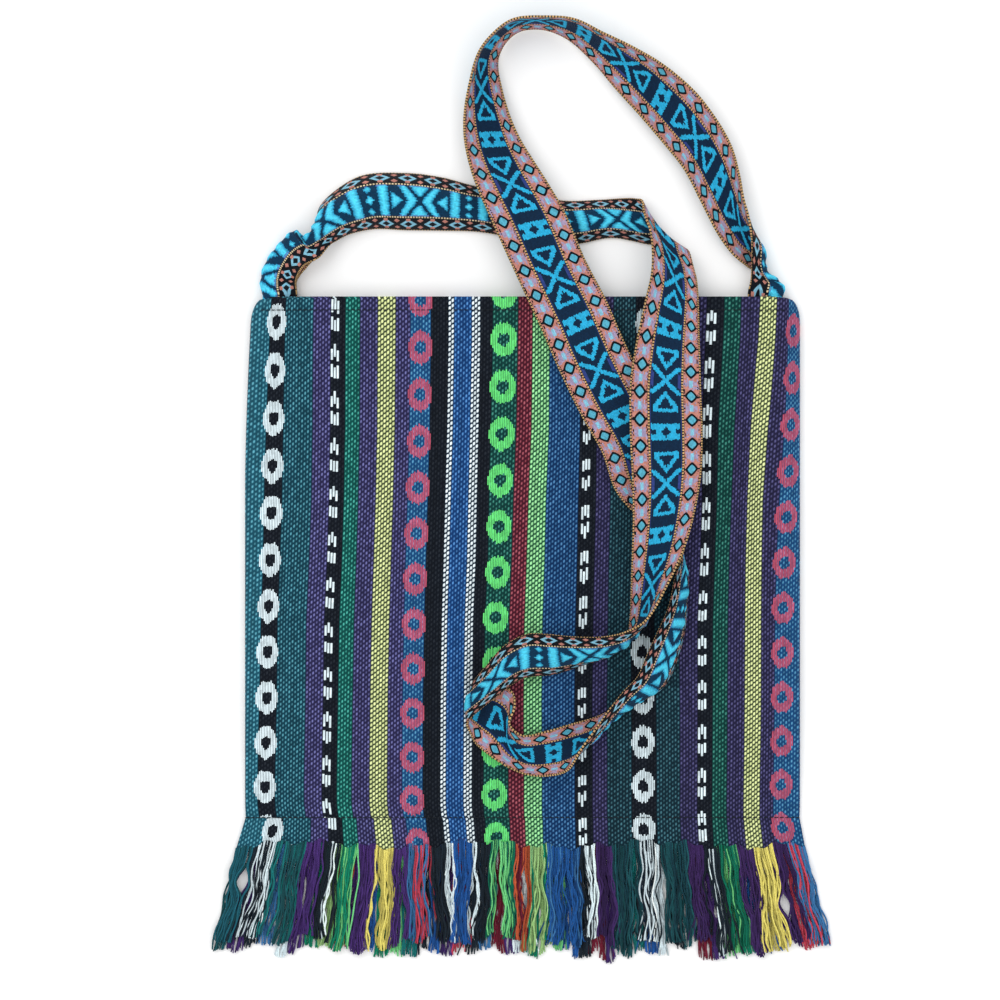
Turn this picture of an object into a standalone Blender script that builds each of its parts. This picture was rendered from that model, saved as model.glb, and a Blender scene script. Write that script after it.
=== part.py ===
"""A flat woven crossbody bag: two striped cotton panels sewn into a pocket with a turned hem at the
mouth and a fringe of loose warp at the foot, and one patterned ribbon strap folded into its top corners.

It lies on its back panel on the floor, seen from +Z, with the mouth towards +Y. Lengths are metres.
"""

import math

import bmesh
import bpy
import numpy as np

# The cloth pocket
BAG_WIDTH = 0.332
BAG_HEIGHT = 0.330
CLOTH = 0.0008
CLEARANCE = 0.0003
BAG_LOFT = 0.0100
FOOT_RISE = 0.075
CORNER_ROUND = 0.014
HEM_DEPTH = 0.007
HEM_FOLD = 0.0014
HEM_SIDE_STOP = 0.010
SIDE_SPLITS = (0.0015, 0.0050)
FOOT_SEAM_UP = 0.019

# The fringe of warp ends
FRINGE_LENGTH = 0.066
FRINGE_SPREAD = 0.055
LOCK_PITCH = 0.0098
LOCK_GAP = 0.0022
LOCK_THICK = 0.0026

# The ribbon strap and the threads
STRAP_WIDTH = 0.044
STRAP_THICK = 0.0012
THREAD = 0.0006
STITCH_LENGTH = 0.0045
TACK_LENGTH = 0.012

# The bag that the strap's route was laid out on
ROUTE_WIDTH = 0.332
ROUTE_HEIGHT = 0.330
ROUTE_BAG_TOP = 0.0119

YARNS = {
    "teal": (0.030, 0.110, 0.120),
    "black": (0.012, 0.018, 0.028),
    "purple": (0.070, 0.035, 0.150),
    "green": (0.010, 0.170, 0.105),
    "yellow": (0.720, 0.710, 0.160),
    "blue": (0.025, 0.110, 0.300),
    "white": (0.720, 0.820, 0.860),
    "lime": (0.260, 0.640, 0.150),
    "red": (0.300, 0.020, 0.045),
    "rose": (0.440, 0.075, 0.110),
    "sky": (0.050, 0.500, 0.800),
    "amber": (0.640, 0.330, 0.180),
}

# Each stripe from left to right: its yarn and its width in millimetres at the mouth
STRIPES = [
    ("teal", 12.5), ("black", 11.0), ("teal", 16.5), ("purple", 9.0), ("white", 9.5),
    ("green", 11.5), ("purple", 9.5), ("yellow", 10.0), ("purple", 9.5), ("rose", 13.0),
    ("black", 9.5), ("white", 2.7), ("blue", 12.3), ("white", 3.6), ("black", 9.0),
    ("lime", 13.8), ("red", 8.7), ("lime", 10.5), ("blue", 16.8), ("black", 9.0),
    ("purple", 9.6), ("teal", 14.4), ("white", 12.6), ("teal", 16.2), ("purple", 9.6),
    ("white", 9.0), ("green", 10.8), ("purple", 15.0), ("yellow", 12.0), ("purple", 8.0),
    ("rose", 9.4),
]

# The strap's route: edge one, edge two (x, y, z in millimetres) and how far the section may curl
ROUTE = [
    ((-135.0, 147, 3.9), (-135.0, 147, 5.7), 3.7),
    ((-135.0, 168, 3.8), (-135.0, 168, 5.5), 3.7),
    ((-135.0, 176, 2.8), (-135.3, 176, 7.4), 3.4),
    ((-129.0, 186, 2.8), (-132.5, 186.5, 12.6), 3.05),
    ((-122.5, 195.5, 2.6), (-126.0, 193.0, 13.4), 2.75),
    ((-119.5, 206.0, 1.8), (-118.0, 197.5, 11.0), 2.7),
    ((-118.5, 217.5, 1.4), (-109.5, 202.0, 5.5), 2.8),
    ((-110.0, 230.0, 1.2), (-101.0, 206.0, 2.2), 2.6),
    ((-96.0, 238.5, 1.2), (-88.0, 207.4, 1.2), 2.4),
    ((-71.0, 240.0, 1.2), (-70.0, 206.7, 1.2), 2.2),
    ((-49.5, 237.6, 1.2), (-49.5, 206.4, 1.2), 2.0),
    ((-26.0, 231.8, 1.2), (-25.0, 205.5, 1.2), 1.9),
    ((0.0, 230.0, 1.2), (6.0, 200.0, 1.2), 1.8),
    ((23.0, 223.6, 1.2), (32.0, 198.4, 1.2), 1.9),
    ((46.5, 224.0, 1.2), (54.0, 202.0, 1.2), 1.8),
    ((60.0, 225.0, 2.6), (76.0, 198.0, 1.4), 1.2),
    ((68.0, 225.0, 5.0), (91.0, 196.0, 3.2), 0.8),
    ((71.5, 223.5, 9.0), (98.5, 194.0, 8.0), 0.6),
    ((72.5, 216.0, 14.5), (101.5, 186.0, 13.5), 0.6),
    ((76.5, 203.0, 17.5), (104.0, 175.5, 16.5), 0.7),
    ((77.0, 182.0, 19.5), (105.0, 161.0, 18.0), 0.7),
    ((72.5, 160.8, 20.5), (105.3, 145.4, 18.5), 0.6),
    ((67.5, 137.4, 20.8), (105.8, 129.4, 19.0), 0.5),
    ((64.0, 113.4, 20.8), (106.4, 108.4, 19.2), 0.4),
    ((63.9, 86.4, 21.2), (107.2, 86.6, 19.8), 0.4),
    ((65.1, 59.4, 23.0), (106.5, 62.4, 22.2), 0.5),
    ((65.7, 35.4, 24.5), (103.0, 40.4, 24.5), 0.6),
    ((65.1, 11.4, 24.5), (96.3, 16.4, 27.0), 0.9),
    ((64.5, -9.6, 20.5), (85.0, -7.8, 29.5), 1.3),
    ((64.0, -26.0, 15.5), (73.5, -26.6, 31.5), 1.5),
    ((62.5, -37.5, 13.4), (62.0, -33.5, 31.5), 1.6),
    ((53.0, -47.5, 13.2), (49.0, -36.6, 28.5), 1.7),
    ((37.5, -53.5, 13.2), (32.0, -37.0, 24.5), 1.8),
    ((18.0, -59.4, 14.2), (14.7, -35.7, 21.5), 1.8),
    ((2.5, -61.0, 17.5), (2.0, -35.9, 21.0), 1.8),
    ((-6.0, -65.0, 20.0), (-11.0, -42.8, 21.0), 1.7),
    ((-14.5, -71.5, 21.5), (-21.5, -54.6, 21.5), 1.5),
    ((-25.5, -80.5, 22.0), (-27.5, -61.5, 22.0), 1.0),
    ((-33.0, -88.8, 18.6), (-30.0, -66.8, 19.0), 0.6),
    ((-31.0, -95.0, 15.8), (-24.5, -66.4, 16.0), 0.6),
    ((-28.5, -100.6, 16.0), (-14.5, -65.4, 16.4), 0.7),
    ((-23.8, -105.0, 16.2), (-6.0, -70.2, 16.6), 0.7),
    ((-16.5, -110.4, 16.0), (-4.8, -79.2, 17.0), 0.9),
    ((-7.5, -115.8, 15.2), (-8.0, -88.8, 17.2), 1.1),
    ((2.7, -119.7, 15.4), (0.0, -96.0, 17.2), 1.2),
    ((15.3, -120.4, 16.4), (13.5, -93.8, 16.6), 1.1),
    ((27.0, -116.5, 20.0), (29.0, -89.3, 15.0), 1.2),
    ((34.5, -104.0, 26.5), (42.0, -85.6, 13.6), 1.5),
    ((43.0, -92.0, 29.0), (50.0, -82.4, 13.2), 1.6),
    ((50.4, -81.4, 28.5), (59.5, -78.0, 13.2), 1.7),
    ((59.5, -69.8, 25.5), (71.5, -74.6, 13.2), 1.8),
    ((68.5, -60.4, 23.5), (84.0, -67.0, 13.2), 1.9),
    ((75.0, -45.6, 22.5), (92.0, -51.0, 13.2), 1.9),
    ((81.3, -32.0, 22.5), (96.5, -33.6, 13.2), 1.9),
    ((87.0, -18.4, 22.5), (98.0, -15.6, 13.2), 1.8),
    ((90.5, -2.0, 22.0), (97.5, 2.0, 13.4), 1.8),
    ((96.0, 15.5, 20.6), (88.0, 17.5, 15.2), 1.3),
    ((98.0, 33.0, 18.2), (72.5, 31.0, 17.2), 0.9),
    ((95.5, 55.0, 16.6), (56.0, 49.0, 16.8), 0.5),
    ((87.3, 87.0, 15.8), (47.5, 72.5, 16.0), 0.4),
    ((74.1, 112.4, 15.8), (34.8, 95.2, 15.8), 0.4),
    ((61.0, 138.5, 15.8), (22.0, 121.5, 15.8), 0.4),
    ((50.1, 163.4, 15.9), (11.1, 146.6, 15.9), 0.4),
    ((37.0, 188.6, 16.4), (-3.3, 177.6, 16.4), 0.5),
    ((25.0, 216.5, 17.0), (-17.2, 208.2, 17.0), 0.5),
    ((15.0, 233.8, 15.6), (-25.8, 227.8, 15.6), 0.7),
    ((7.2, 246.0, 13.4), (-31.0, 242.4, 13.4), 1.2),
    ((-1.8, 260.6, 11.0), (-34.6, 259.6, 11.0), 1.7),
    ((-8.3, 275.6, 10.0), (-34.8, 275.2, 11.5), 1.9),
    ((-13.0, 294.0, 7.0), (-31.6, 293.4, 17.5), 1.8),
    ((-14.5, 308.5, 3.0), (-26.5, 310.4, 23.0), 1.7),
    ((-9.5, 319.5, 1.4), (-17.6, 322.0, 27.0), 1.6),
    ((-0.5, 326.0, 1.2), (-5.6, 330.2, 29.0), 1.3),
    ((13.8, 326.4, 1.4), (12.0, 331.8, 29.0), 1.2),
    ((28.0, 320.0, 3.0), (30.4, 330.4, 28.0), 1.3),
    ((41.4, 307.4, 5.0), (47.6, 322.6, 25.0), 1.5),
    ((54.0, 292.4, 6.5), (65.8, 314.4, 20.0), 1.7),
    ((70.0, 274.8, 8.5), (84.2, 304.0, 15.5), 1.7),
    ((84.6, 257.6, 9.0), (102.4, 289.0, 12.5), 1.5),
    ((97.0, 241.8, 9.2), (115.4, 272.6, 11.5), 1.4),
    ((106.6, 223.4, 9.2), (124.6, 256.4, 11.0), 1.3),
    ((116.4, 204.4, 8.8), (129.4, 239.4, 11.5), 1.2),
    ((125.6, 191.8, 6.8), (132.0, 224.6, 12.5), 1.4),
    ((134.5, 184.5, 3.4), (135.4, 211.4, 13.0), 1.8),
    ((138.0, 181.5, 1.6), (136.8, 197.4, 12.0), 2.3),
    ((136.6, 175.5, 2.8), (136.6, 178.0, 8.0), 3.0),
    ((135.0, 168.0, 3.8), (135.0, 168.0, 5.5), 3.7),
    ((135.0, 147.0, 3.9), (135.0, 147.0, 5.7), 3.7),
]

BACK_MIDDLE = CLOTH / 2
FRONT_SEAM = BACK_MIDDLE + CLOTH + CLEARANCE
MOUTH_Y = BAG_HEIGHT / 2
FOOT_Y = -BAG_HEIGHT / 2
SEAM_Y = FOOT_Y + FOOT_SEAM_UP


def clear_scene():
    for old in list(bpy.data.objects):
        bpy.data.objects.remove(old, do_unlink=True)


def yarn_material(name):
    material = bpy.data.materials.get(f"yarn_{name}")
    if material is None:
        material = bpy.data.materials.new(f"yarn_{name}")
        material.use_nodes = True
        shader = material.node_tree.nodes["Principled BSDF"]
        shader.inputs["Base Color"].default_value = (*YARNS[name], 1.0)
        shader.inputs["Roughness"].default_value = 0.9
        shader.inputs["Metallic"].default_value = 0.0
    return material


def new_object(name, mesh, yarns):
    for yarn in yarns:
        mesh.materials.append(yarn_material(yarn))
    built = bpy.data.objects.new(name, mesh)
    bpy.context.scene.collection.objects.link(built)
    return built


def smooth_step(value):
    value = min(max(value, 0.0), 1.0)
    return value * value * (3 - 2 * value)


def half_width(y):
    """The bag's half width at this height: straight sides and rounded top corners."""
    below_top = MOUTH_Y - y
    if below_top >= CORNER_ROUND:
        return BAG_WIDTH / 2
    rise = 1 - max(below_top, 0.0) / CORNER_ROUND
    return BAG_WIDTH / 2 - 0.5 * CORNER_ROUND * (1 - math.sqrt(max(1 - rise * rise, 0.0)))


def front_height(across, y):
    """Height of the middle of the front cloth; across runs from -1 at the left side to 1."""
    crown = max(1 - abs(across) ** 8, 0.0) ** (1 / 3)
    above_seam = min(max((y - SEAM_Y) / FOOT_RISE, 0.0), 1.0)
    return FRONT_SEAM + BAG_LOFT * crown * (1 - (1 - above_seam) ** 2)


BAG_TOP_FACE = FRONT_SEAM + BAG_LOFT + CLOTH / 2


def stripe_edges():
    """Where each stripe starts and ends, as shares of the width from -1 to 1."""
    total = sum(width for _, width in STRIPES)
    edges = [-1.0]
    for _, width in STRIPES:
        edges.append(edges[-1] + 2 * width / total)
    edges[-1] = 1.0
    return edges


def stripe_at(across):
    edges = stripe_edges()
    for index in range(len(STRIPES)):
        if across <= edges[index + 1]:
            return index
    return len(STRIPES) - 1


def columns():
    """The cloth's columns from side to side, each with the yarn of the stripe on its right."""
    inner = [1 - 2 * split / BAG_WIDTH for split in SIDE_SPLITS]
    found = list(zip(stripe_edges(), [yarn for yarn, _ in STRIPES] + [STRIPES[-1][0]]))
    found += [(-across, STRIPES[0][0]) for across in inner]
    found += [(across, STRIPES[-1][0]) for across in inner]
    return sorted(found)


def laid_height(across, y):
    """Height of the middle of the front cloth between its columns, where the cloth is straight."""
    places = [place for place, _ in columns()]
    return float(np.interp(across, places, [front_height(place, y) for place in places]))


def panel_rows():
    """Heights of the cloth's rows from the mouth down to just above the weave's end."""
    mouth_zone = [MOUTH_Y, MOUTH_Y - CORNER_ROUND * 0.18, MOUTH_Y - CORNER_ROUND * 0.5]
    mouth_zone.append(MOUTH_Y - CORNER_ROUND)
    seam_zone = [SEAM_Y + FOOT_RISE * share for share in (1.0, 0.62, 0.34, 0.12, 0.0)]
    straight = np.linspace(mouth_zone[-1], seam_zone[0], 5)[1:-1]
    return mouth_zone + list(straight) + seam_zone


def lock_spans():
    """Left and right end of each fringe lock along the foot of the cloth."""
    count = max(round(BAG_WIDTH / LOCK_PITCH), 4)
    pitch = BAG_WIDTH / count
    first = -BAG_WIDTH / 2
    return [
        (first + index * pitch + LOCK_GAP / 2, first + (index + 1) * pitch - LOCK_GAP / 2)
        for index in range(count)
    ]


class Cloth:
    """Upper and lower skins of one piece of cloth, sewn round their rims into a closed solid."""

    def __init__(self):
        self.points = []
        self.faces = []
        self.colours = []

    def point(self, x, y, low, high):
        self.points.append((x, y, low, high))
        return len(self.points) - 1

    def turned_point(self, lower, upper):
        """A point whose two skins don't lie straight above each other, as in the hem's turn."""
        self.points.append((*lower, *upper))
        return len(self.points) - 1

    def face(self, corners, colour):
        self.faces.append(tuple(corners))
        self.colours.append(colour)

    def mesh(self, name, yarns):
        upper = []
        lower = []
        for entry in self.points:
            if len(entry) == 4:
                x, y, low, high = entry
                lower.append((x, y, low))
                upper.append((x, y, high))
            else:
                lower.append(entry[:3])
                upper.append(entry[3:])
        count = len(upper)
        rim = {}
        for corners, colour in zip(self.faces, self.colours):
            for start, end in zip(corners, corners[1:] + corners[:1]):
                if (end, start) in rim:
                    del rim[(end, start)]
                else:
                    rim[(start, end)] = colour
        faces = list(self.faces)
        faces += [tuple(count + corner for corner in reversed(face)) for face in self.faces]
        colours = self.colours * 2
        for (start, end), colour in rim.items():
            faces.append((end, start, count + start, count + end))
            colours.append(colour)
        mesh = bpy.data.meshes.new(name)
        mesh.from_pydata(upper + lower, [], faces)
        mesh.validate()
        mesh.polygons.foreach_set("material_index", [yarns.index(c) for c in colours])
        tidy = bmesh.new()
        tidy.from_mesh(mesh)
        bmesh.ops.recalc_face_normals(tidy, faces=tidy.faces)
        tidy.to_mesh(mesh)
        tidy.free()
        return mesh


def panel_surface(cloth, height_of):
    """Lays the striped cloth from the mouth to the foot seam and returns its top and bottom rows."""
    rows = []
    for y in panel_rows():
        row = []
        for across, _ in columns():
            middle = height_of(across, y)
            x = across * half_width(y)
            row.append(cloth.point(x, y, middle - CLOTH / 2, middle + CLOTH / 2))
        rows.append(row)
    for upper, lower in zip(rows, rows[1:]):
        for index, (_, yarn) in enumerate(columns()[:-1]):
            corners = (upper[index], lower[index], lower[index + 1], upper[index + 1])
            cloth.face(corners, yarn)
    return rows


def turned_hem(cloth, mouth_row, height_of, inward):
    """Turns the cloth at the mouth over into the bag: inward is -1 on the front and 1 on the back."""
    edges = [across for across, _ in columns()]
    limit = 1 - HEM_SIDE_STOP / (BAG_WIDTH / 2)
    kept = [index for index, across in enumerate(edges) if abs(across) <= limit]
    half_fold = HEM_FOLD / 2
    rows = [[mouth_row[index] for index in kept]]
    for turn in (0.5 * math.pi, math.pi):
        row = []
        for index in kept:
            middle = height_of(edges[index], MOUTH_Y)
            x = edges[index] * half_width(MOUTH_Y)
            centre = middle + inward * half_fold
            skins = []
            for radius in (half_fold - CLOTH / 2, half_fold + CLOTH / 2):
                y = MOUTH_Y + radius * math.sin(turn)
                z = centre - inward * radius * math.cos(turn)
                skins.append((x, y, z))
            inner, outer = skins
            lower, upper = (inner, outer) if inward < 0 else (outer, inner)
            row.append(cloth.turned_point(lower, upper))
        rows.append(row)
    end = []
    for index in kept:
        y = MOUTH_Y - HEM_DEPTH - THREAD
        middle = height_of(edges[index], y) + inward * HEM_FOLD
        x = edges[index] * half_width(y)
        low, high = middle - CLOTH / 2, middle + CLOTH / 2
        end.append(cloth.turned_point((x, y, high), (x, y, low)))
    rows.append(end)
    for upper_row, lower_row in zip(rows, rows[1:]):
        for slot, left in enumerate(kept[:-1]):
            yarn = columns()[left][1]
            corners = (upper_row[slot + 1], lower_row[slot + 1], lower_row[slot], upper_row[slot])
            cloth.face(corners, yarn)


def fringe(cloth, seam_row, middle, layer):
    """Joins the foot of the weave to its locks; layer is 0 on the back cloth and 1 on the front."""
    spans = lock_spans()
    foot = []
    lock_roots = []
    ends = [-BAG_WIDTH / 2] + [x for span in spans for x in span] + [BAG_WIDTH / 2]
    for x in ends:
        foot.append(cloth.point(x, FOOT_Y, middle - CLOTH / 2, middle + CLOTH / 2))
    for index in range(len(spans)):
        lock_roots.append((foot[1 + 2 * index], foot[2 + 2 * index]))
    zip_rows(cloth, seam_row, foot)
    steps = 6
    for index, (left, right) in enumerate(spans):
        yarn = STRIPES[stripe_at((left + right) / BAG_WIDTH)][0]
        seed = index * 2.399 + layer * 1.3
        length = FRINGE_LENGTH * (0.86 + 0.14 * math.sin(seed * 1.7))
        centre = (left + right) / 2
        if layer == 0:
            length *= 0.94
        lean = FRINGE_SPREAD * (centre / BAG_WIDTH) ** 3 * 4 + 0.0022 * math.sin(seed)
        row = lock_roots[index]
        for step in range(1, steps + 1):
            along = step / steps
            width = (right - left) * (1 - 0.30 * math.sin(math.pi * min(along * 1.2, 1.0)))
            if step == steps:
                width *= 0.55
            sway = 0.0009 * math.sin(5.5 * along + seed) * along
            x = centre + lean * along + sway
            y = FOOT_Y - length * along
            thick = CLOTH + (LOCK_THICK - CLOTH) * smooth_step(along * 3)
            if step == steps:
                thick *= 0.5
            floor = layer * (LOCK_THICK + CLEARANCE) * smooth_step(along * 4)
            low = (middle - CLOTH / 2) * (1 - smooth_step(along * 4)) + floor
            high = low + thick
            new_row = (
                cloth.point(x - width / 2, y, low, low + 0.75 * thick),
                cloth.point(x + width / 2, y, low, high),
            )
            cloth.face((row[0], new_row[0], new_row[1], row[1]), yarn)
            row = new_row


def zip_rows(cloth, upper, lower):
    """Fills the band between two rows whose points don't line up, with three-cornered faces."""
    above, below = 0, 0
    while above < len(upper) - 1 or below < len(lower) - 1:
        take_upper = below == len(lower) - 1
        if above < len(upper) - 1 and below < len(lower) - 1:
            take_upper = cloth.points[upper[above + 1]][0] < cloth.points[lower[below + 1]][0]
        if take_upper:
            cloth.face((upper[above], lower[below], upper[above + 1]), columns()[above][1])
            above += 1
        else:
            cloth.face((upper[above], lower[below], lower[below + 1]), columns()[above][1])
            below += 1


def back_height(_across, _y):
    return BACK_MIDDLE


def make_panel(name, height_of, inward, layer):
    cloth = Cloth()
    rows = panel_surface(cloth, height_of)
    turned_hem(cloth, rows[0], height_of, inward)
    fringe(cloth, rows[-1], height_of(0.0, SEAM_Y), layer)
    yarns = sorted({yarn for yarn, _ in STRIPES})
    return new_object(name, cloth.mesh(name, yarns), yarns)


def route_point(point):
    """A point of the strap's route, set over the bag as it is sized now."""
    x, y, z = (value / 1000 for value in point)
    old_mouth = ROUTE_HEIGHT / 2
    new_x = x * BAG_WIDTH / ROUTE_WIDTH
    if y > old_mouth:
        new_y = MOUTH_Y + y - old_mouth
    else:
        inside = (old_mouth - y) / ROUTE_HEIGHT
        new_y = MOUTH_Y - inside * BAG_HEIGHT
    on_bag = 1 - smooth_step((y - old_mouth) / 0.040)
    tucked = smooth_step((abs(x) - 0.125) / 0.010)
    new_z = z + (BAG_TOP_FACE - ROUTE_BAG_TOP) * on_bag * (1 - tucked)
    return np.array((new_x, new_y, new_z))


def route_curve(samples):
    """Edge one, edge two and the curl at even steps along the strap, on one smooth curve."""
    stations = []
    for first, second, curl in ROUTE:
        one, two = route_point(first), route_point(second)
        middle, half = (one + two) / 2, (one - two) / 2
        stations.append(np.array([*middle, *half, curl]))
    stations = np.array(stations)
    steps = np.linalg.norm(np.diff(stations[:, :3], axis=0), axis=1)
    turns = np.linalg.norm(np.diff(stations[:, 3:6], axis=0), axis=1)
    knots = np.concatenate([[0.0], np.cumsum(np.sqrt(steps * steps + 0.3 * turns * turns))])
    slopes = np.zeros_like(stations)
    slopes[1:-1] = (stations[2:] - stations[:-2]) / (knots[2:] - knots[:-2])[:, None]
    slopes[0] = (stations[1] - stations[0]) / (knots[1] - knots[0])
    slopes[-1] = (stations[-1] - stations[-2]) / (knots[-1] - knots[-2])
    found = []
    for value in np.linspace(0.0, knots[-1], samples):
        index = min(int(np.searchsorted(knots, value, side="right")) - 1, len(knots) - 2)
        span = knots[index + 1] - knots[index]
        part = (value - knots[index]) / span
        squared, cubed = part * part, part**3
        found.append(
            (2 * cubed - 3 * squared + 1) * stations[index]
            + (cubed - 2 * squared + part) * span * slopes[index]
            + (3 * squared - 2 * cubed) * stations[index + 1]
            + (cubed - squared) * span * slopes[index + 1]
        )
    return np.array(found)


def curled_section(chord, curl, count):
    """Points across the ribbon: its length is kept while the curl needed stays under its limit."""
    shares = np.linspace(-0.5, 0.5, 97)
    crease = 0.6 - 0.55 * smooth_step((curl - 2.0) / 1.0)
    heading = np.tanh(shares / crease) / np.tanh(0.5 / crease)
    low, high = 0.0, curl
    for _ in range(30):
        turn = (low + high) / 2
        reach = np.cos(turn / 2 * heading).mean()
        if reach * STRAP_WIDTH > chord:
            low = turn
        else:
            high = turn
    angles = turn / 2 * heading
    middle = (angles[1:] + angles[:-1]) / 2
    across = np.concatenate([[0.0], np.cumsum(np.cos(middle))])
    out = np.concatenate([[0.0], np.cumsum(-np.sin(middle))])
    scale = chord / across[-1] if across[-1] > 1e-6 else 1.0
    scale = min(scale, STRAP_WIDTH / 96)
    across = (across - across[-1] / 2) * scale
    out = out * scale
    picks = np.linspace(0, 96, count)
    place = np.interp(picks, np.arange(97), across)
    rise = np.interp(picks, np.arange(97), out)
    tilt = np.interp(picks, np.arange(97), turn / 2 * heading)
    return place, rise, tilt


def strap_rings(samples, count):
    """Upper (patterned reverse) and lower skin points of the ribbon at each sample."""
    curve = route_curve(samples)
    middles, halves = curve[:, :3], curve[:, 3:6] * (STRAP_WIDTH / 0.044)
    travel = np.gradient(middles, axis=0)
    rings = []
    for middle, half, along, curl in zip(middles, halves, travel, curve[:, 6]):
        side = half / np.linalg.norm(half)
        along = along - side * np.dot(along, side)
        along = along / np.linalg.norm(along)
        out = np.cross(along, side)
        chord = min(2 * np.linalg.norm(half), 0.995 * STRAP_WIDTH)
        place, rise, tilt = curled_section(chord, curl, count)
        upper, lower = [], []
        for x, z, angle in zip(place, rise, tilt):
            spot = middle + side * x + out * z
            normal = out * math.cos(angle) + side * math.sin(angle)
            upper.append(spot + normal * STRAP_THICK / 2)
            lower.append(spot - normal * STRAP_THICK / 2)
        rings.append((upper, lower))
    return rings


def make_strap():
    samples, count = 190, 7
    rings = strap_rings(samples, count)
    points = []
    for upper, lower in rings:
        points += [tuple(p) for p in upper] + [tuple(p) for p in reversed(lower)]
    size = 2 * count
    faces = []
    for ring in range(samples - 1):
        for corner in range(size):
            following = (corner + 1) % size
            faces.append(
                (ring * size + corner, ring * size + following,
                 (ring + 1) * size + following, (ring + 1) * size + corner)
            )
    for start, flip in ((0, True), ((samples - 1) * size, False)):
        for corner in range(count - 1):
            quad = (start + corner, start + corner + 1,
                    start + size - 2 - corner, start + size - 1 - corner)
            faces.append(tuple(reversed(quad)) if flip else quad)
    mesh = bpy.data.meshes.new("shoulder_strap")
    mesh.from_pydata(points, [], faces)
    tidy = bmesh.new()
    tidy.from_mesh(mesh)
    bmesh.ops.recalc_face_normals(tidy, faces=tidy.faces)
    tidy.to_mesh(mesh)
    tidy.free()
    strap = new_object("shoulder_strap", mesh, ["sky", "amber"])
    index = [1 if (face % size) in (0, count - 2, count, 2 * count - 2) else 0
             for face in range(len(faces))]
    mesh.polygons.foreach_set("material_index", index)
    return strap


def make_thread(name, path, yarn):
    """A sewing thread as a four-sided tube along its path."""
    curve = bpy.data.curves.new(name, "CURVE")
    curve.dimensions = "3D"
    curve.bevel_depth = THREAD / 2
    curve.bevel_resolution = 0
    curve.use_fill_caps = True
    spline = curve.splines.new("POLY")
    spline.points.add(len(path) - 1)
    for point, place in zip(spline.points, path):
        point.co = (*place, 1.0)
    thread = bpy.data.objects.new(name, curve)
    curve.materials.append(yarn_material(yarn))
    bpy.context.scene.collection.objects.link(thread)
    return thread


def across_path(y, inset, height_at, lift):
    reach = half_width(y) - inset
    count = max(int(2 * reach / STITCH_LENGTH / 2), 8)
    path = []
    for x in np.linspace(-reach, reach, count):
        path.append((x, y, height_at(x / half_width(y), y) + lift))
    return path


def make_threads():
    off_cloth = CLOTH / 2 + CLEARANCE + THREAD / 2
    hem_y = MOUTH_Y - HEM_DEPTH
    outer_path = across_path(hem_y, HEM_SIDE_STOP, front_height, off_cloth)
    make_thread("mouth_stitching_front", outer_path, "black")
    strap_tab = BAG_WIDTH / 2 - route_point(ROUTE[-1][0])[0] + 2 * THREAD
    inner_path = across_path(hem_y + THREAD, strap_tab, back_height, HEM_FOLD + off_cloth)
    make_thread("mouth_stitching_back", inner_path, "black")
    foot_path = across_path(SEAM_Y, THREAD, front_height, off_cloth + CLEARANCE)
    make_thread("foot_stitching", foot_path, "black")
    for side, label in ((-1, "left"), (1, "right")):
        make_side_seam(side, label)
        make_tack(side, label)


def make_side_seam(side, label):
    """The thread of a side seam, in the nook inside the bag where the two cloths close up."""
    path = []
    for y in np.linspace(MOUTH_Y - HEM_DEPTH - 0.004, SEAM_Y + FOOT_RISE * 0.5, 24):
        low = CLOTH + CLEARANCE + THREAD / 2
        across = 1.0
        while laid_height(across, y) - CLOTH < low + THREAD / 2 + CLEARANCE:
            across -= 0.0005
        path.append((side * (across * half_width(y) - THREAD), y, low))
    make_thread(f"side_seam_{label}", path, "black")


def make_tack(side, label):
    """The bar of thread that holds the folded strap end to the back cloth inside the mouth."""
    inner = route_point(ROUTE[0][0] if side < 0 else ROUTE[-1][0])
    y = inner[1] - THREAD - CLEARANCE
    z = CLOTH + CLEARANCE + THREAD / 2
    start = abs(inner[0]) + STRAP_WIDTH * 0.08
    path = [(side * (start + TACK_LENGTH * share), y, z) for share in np.linspace(0, 1, 7)]
    make_thread(f"strap_tack_{label}", path, "black")


def main():
    clear_scene()
    make_panel("back_panel", back_height, 1, 0)
    make_panel("front_panel", front_height, -1, 1)
    make_strap()
    make_threads()


main()
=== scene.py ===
# %% [markdown]
# A flat woven crossbody bag, seen from straight above. The measured solids of the bag, one for each
# cloth, ribbon and thread, are loaded first as a fixed frame. Every piece below is made in the same
# metres and the same place as the solid it dresses, so nothing has to be moved or scaled afterwards.

# %% Load the frame
import math

import bmesh
import bpy
import numpy as np
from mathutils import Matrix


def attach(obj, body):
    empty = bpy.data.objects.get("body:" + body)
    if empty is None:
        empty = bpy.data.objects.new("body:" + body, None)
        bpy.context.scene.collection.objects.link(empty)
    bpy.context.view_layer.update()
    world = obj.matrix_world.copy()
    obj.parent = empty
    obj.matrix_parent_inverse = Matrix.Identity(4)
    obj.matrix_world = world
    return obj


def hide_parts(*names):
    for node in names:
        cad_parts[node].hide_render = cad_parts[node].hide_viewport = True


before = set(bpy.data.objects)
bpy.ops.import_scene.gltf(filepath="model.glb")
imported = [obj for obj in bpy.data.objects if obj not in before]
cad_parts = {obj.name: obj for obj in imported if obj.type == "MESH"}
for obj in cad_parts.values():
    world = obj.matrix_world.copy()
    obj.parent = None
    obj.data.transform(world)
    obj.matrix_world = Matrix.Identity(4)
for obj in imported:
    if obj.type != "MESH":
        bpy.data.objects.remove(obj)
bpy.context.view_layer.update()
print("nodes:", sorted(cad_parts))

# %% [markdown]
# The camera looks straight down from high up, with a long lens, so the flat bag shows almost no
# perspective. One pixel of a 1000 pixel picture covers 0.6 mm, which is also how the bag was measured.

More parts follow.
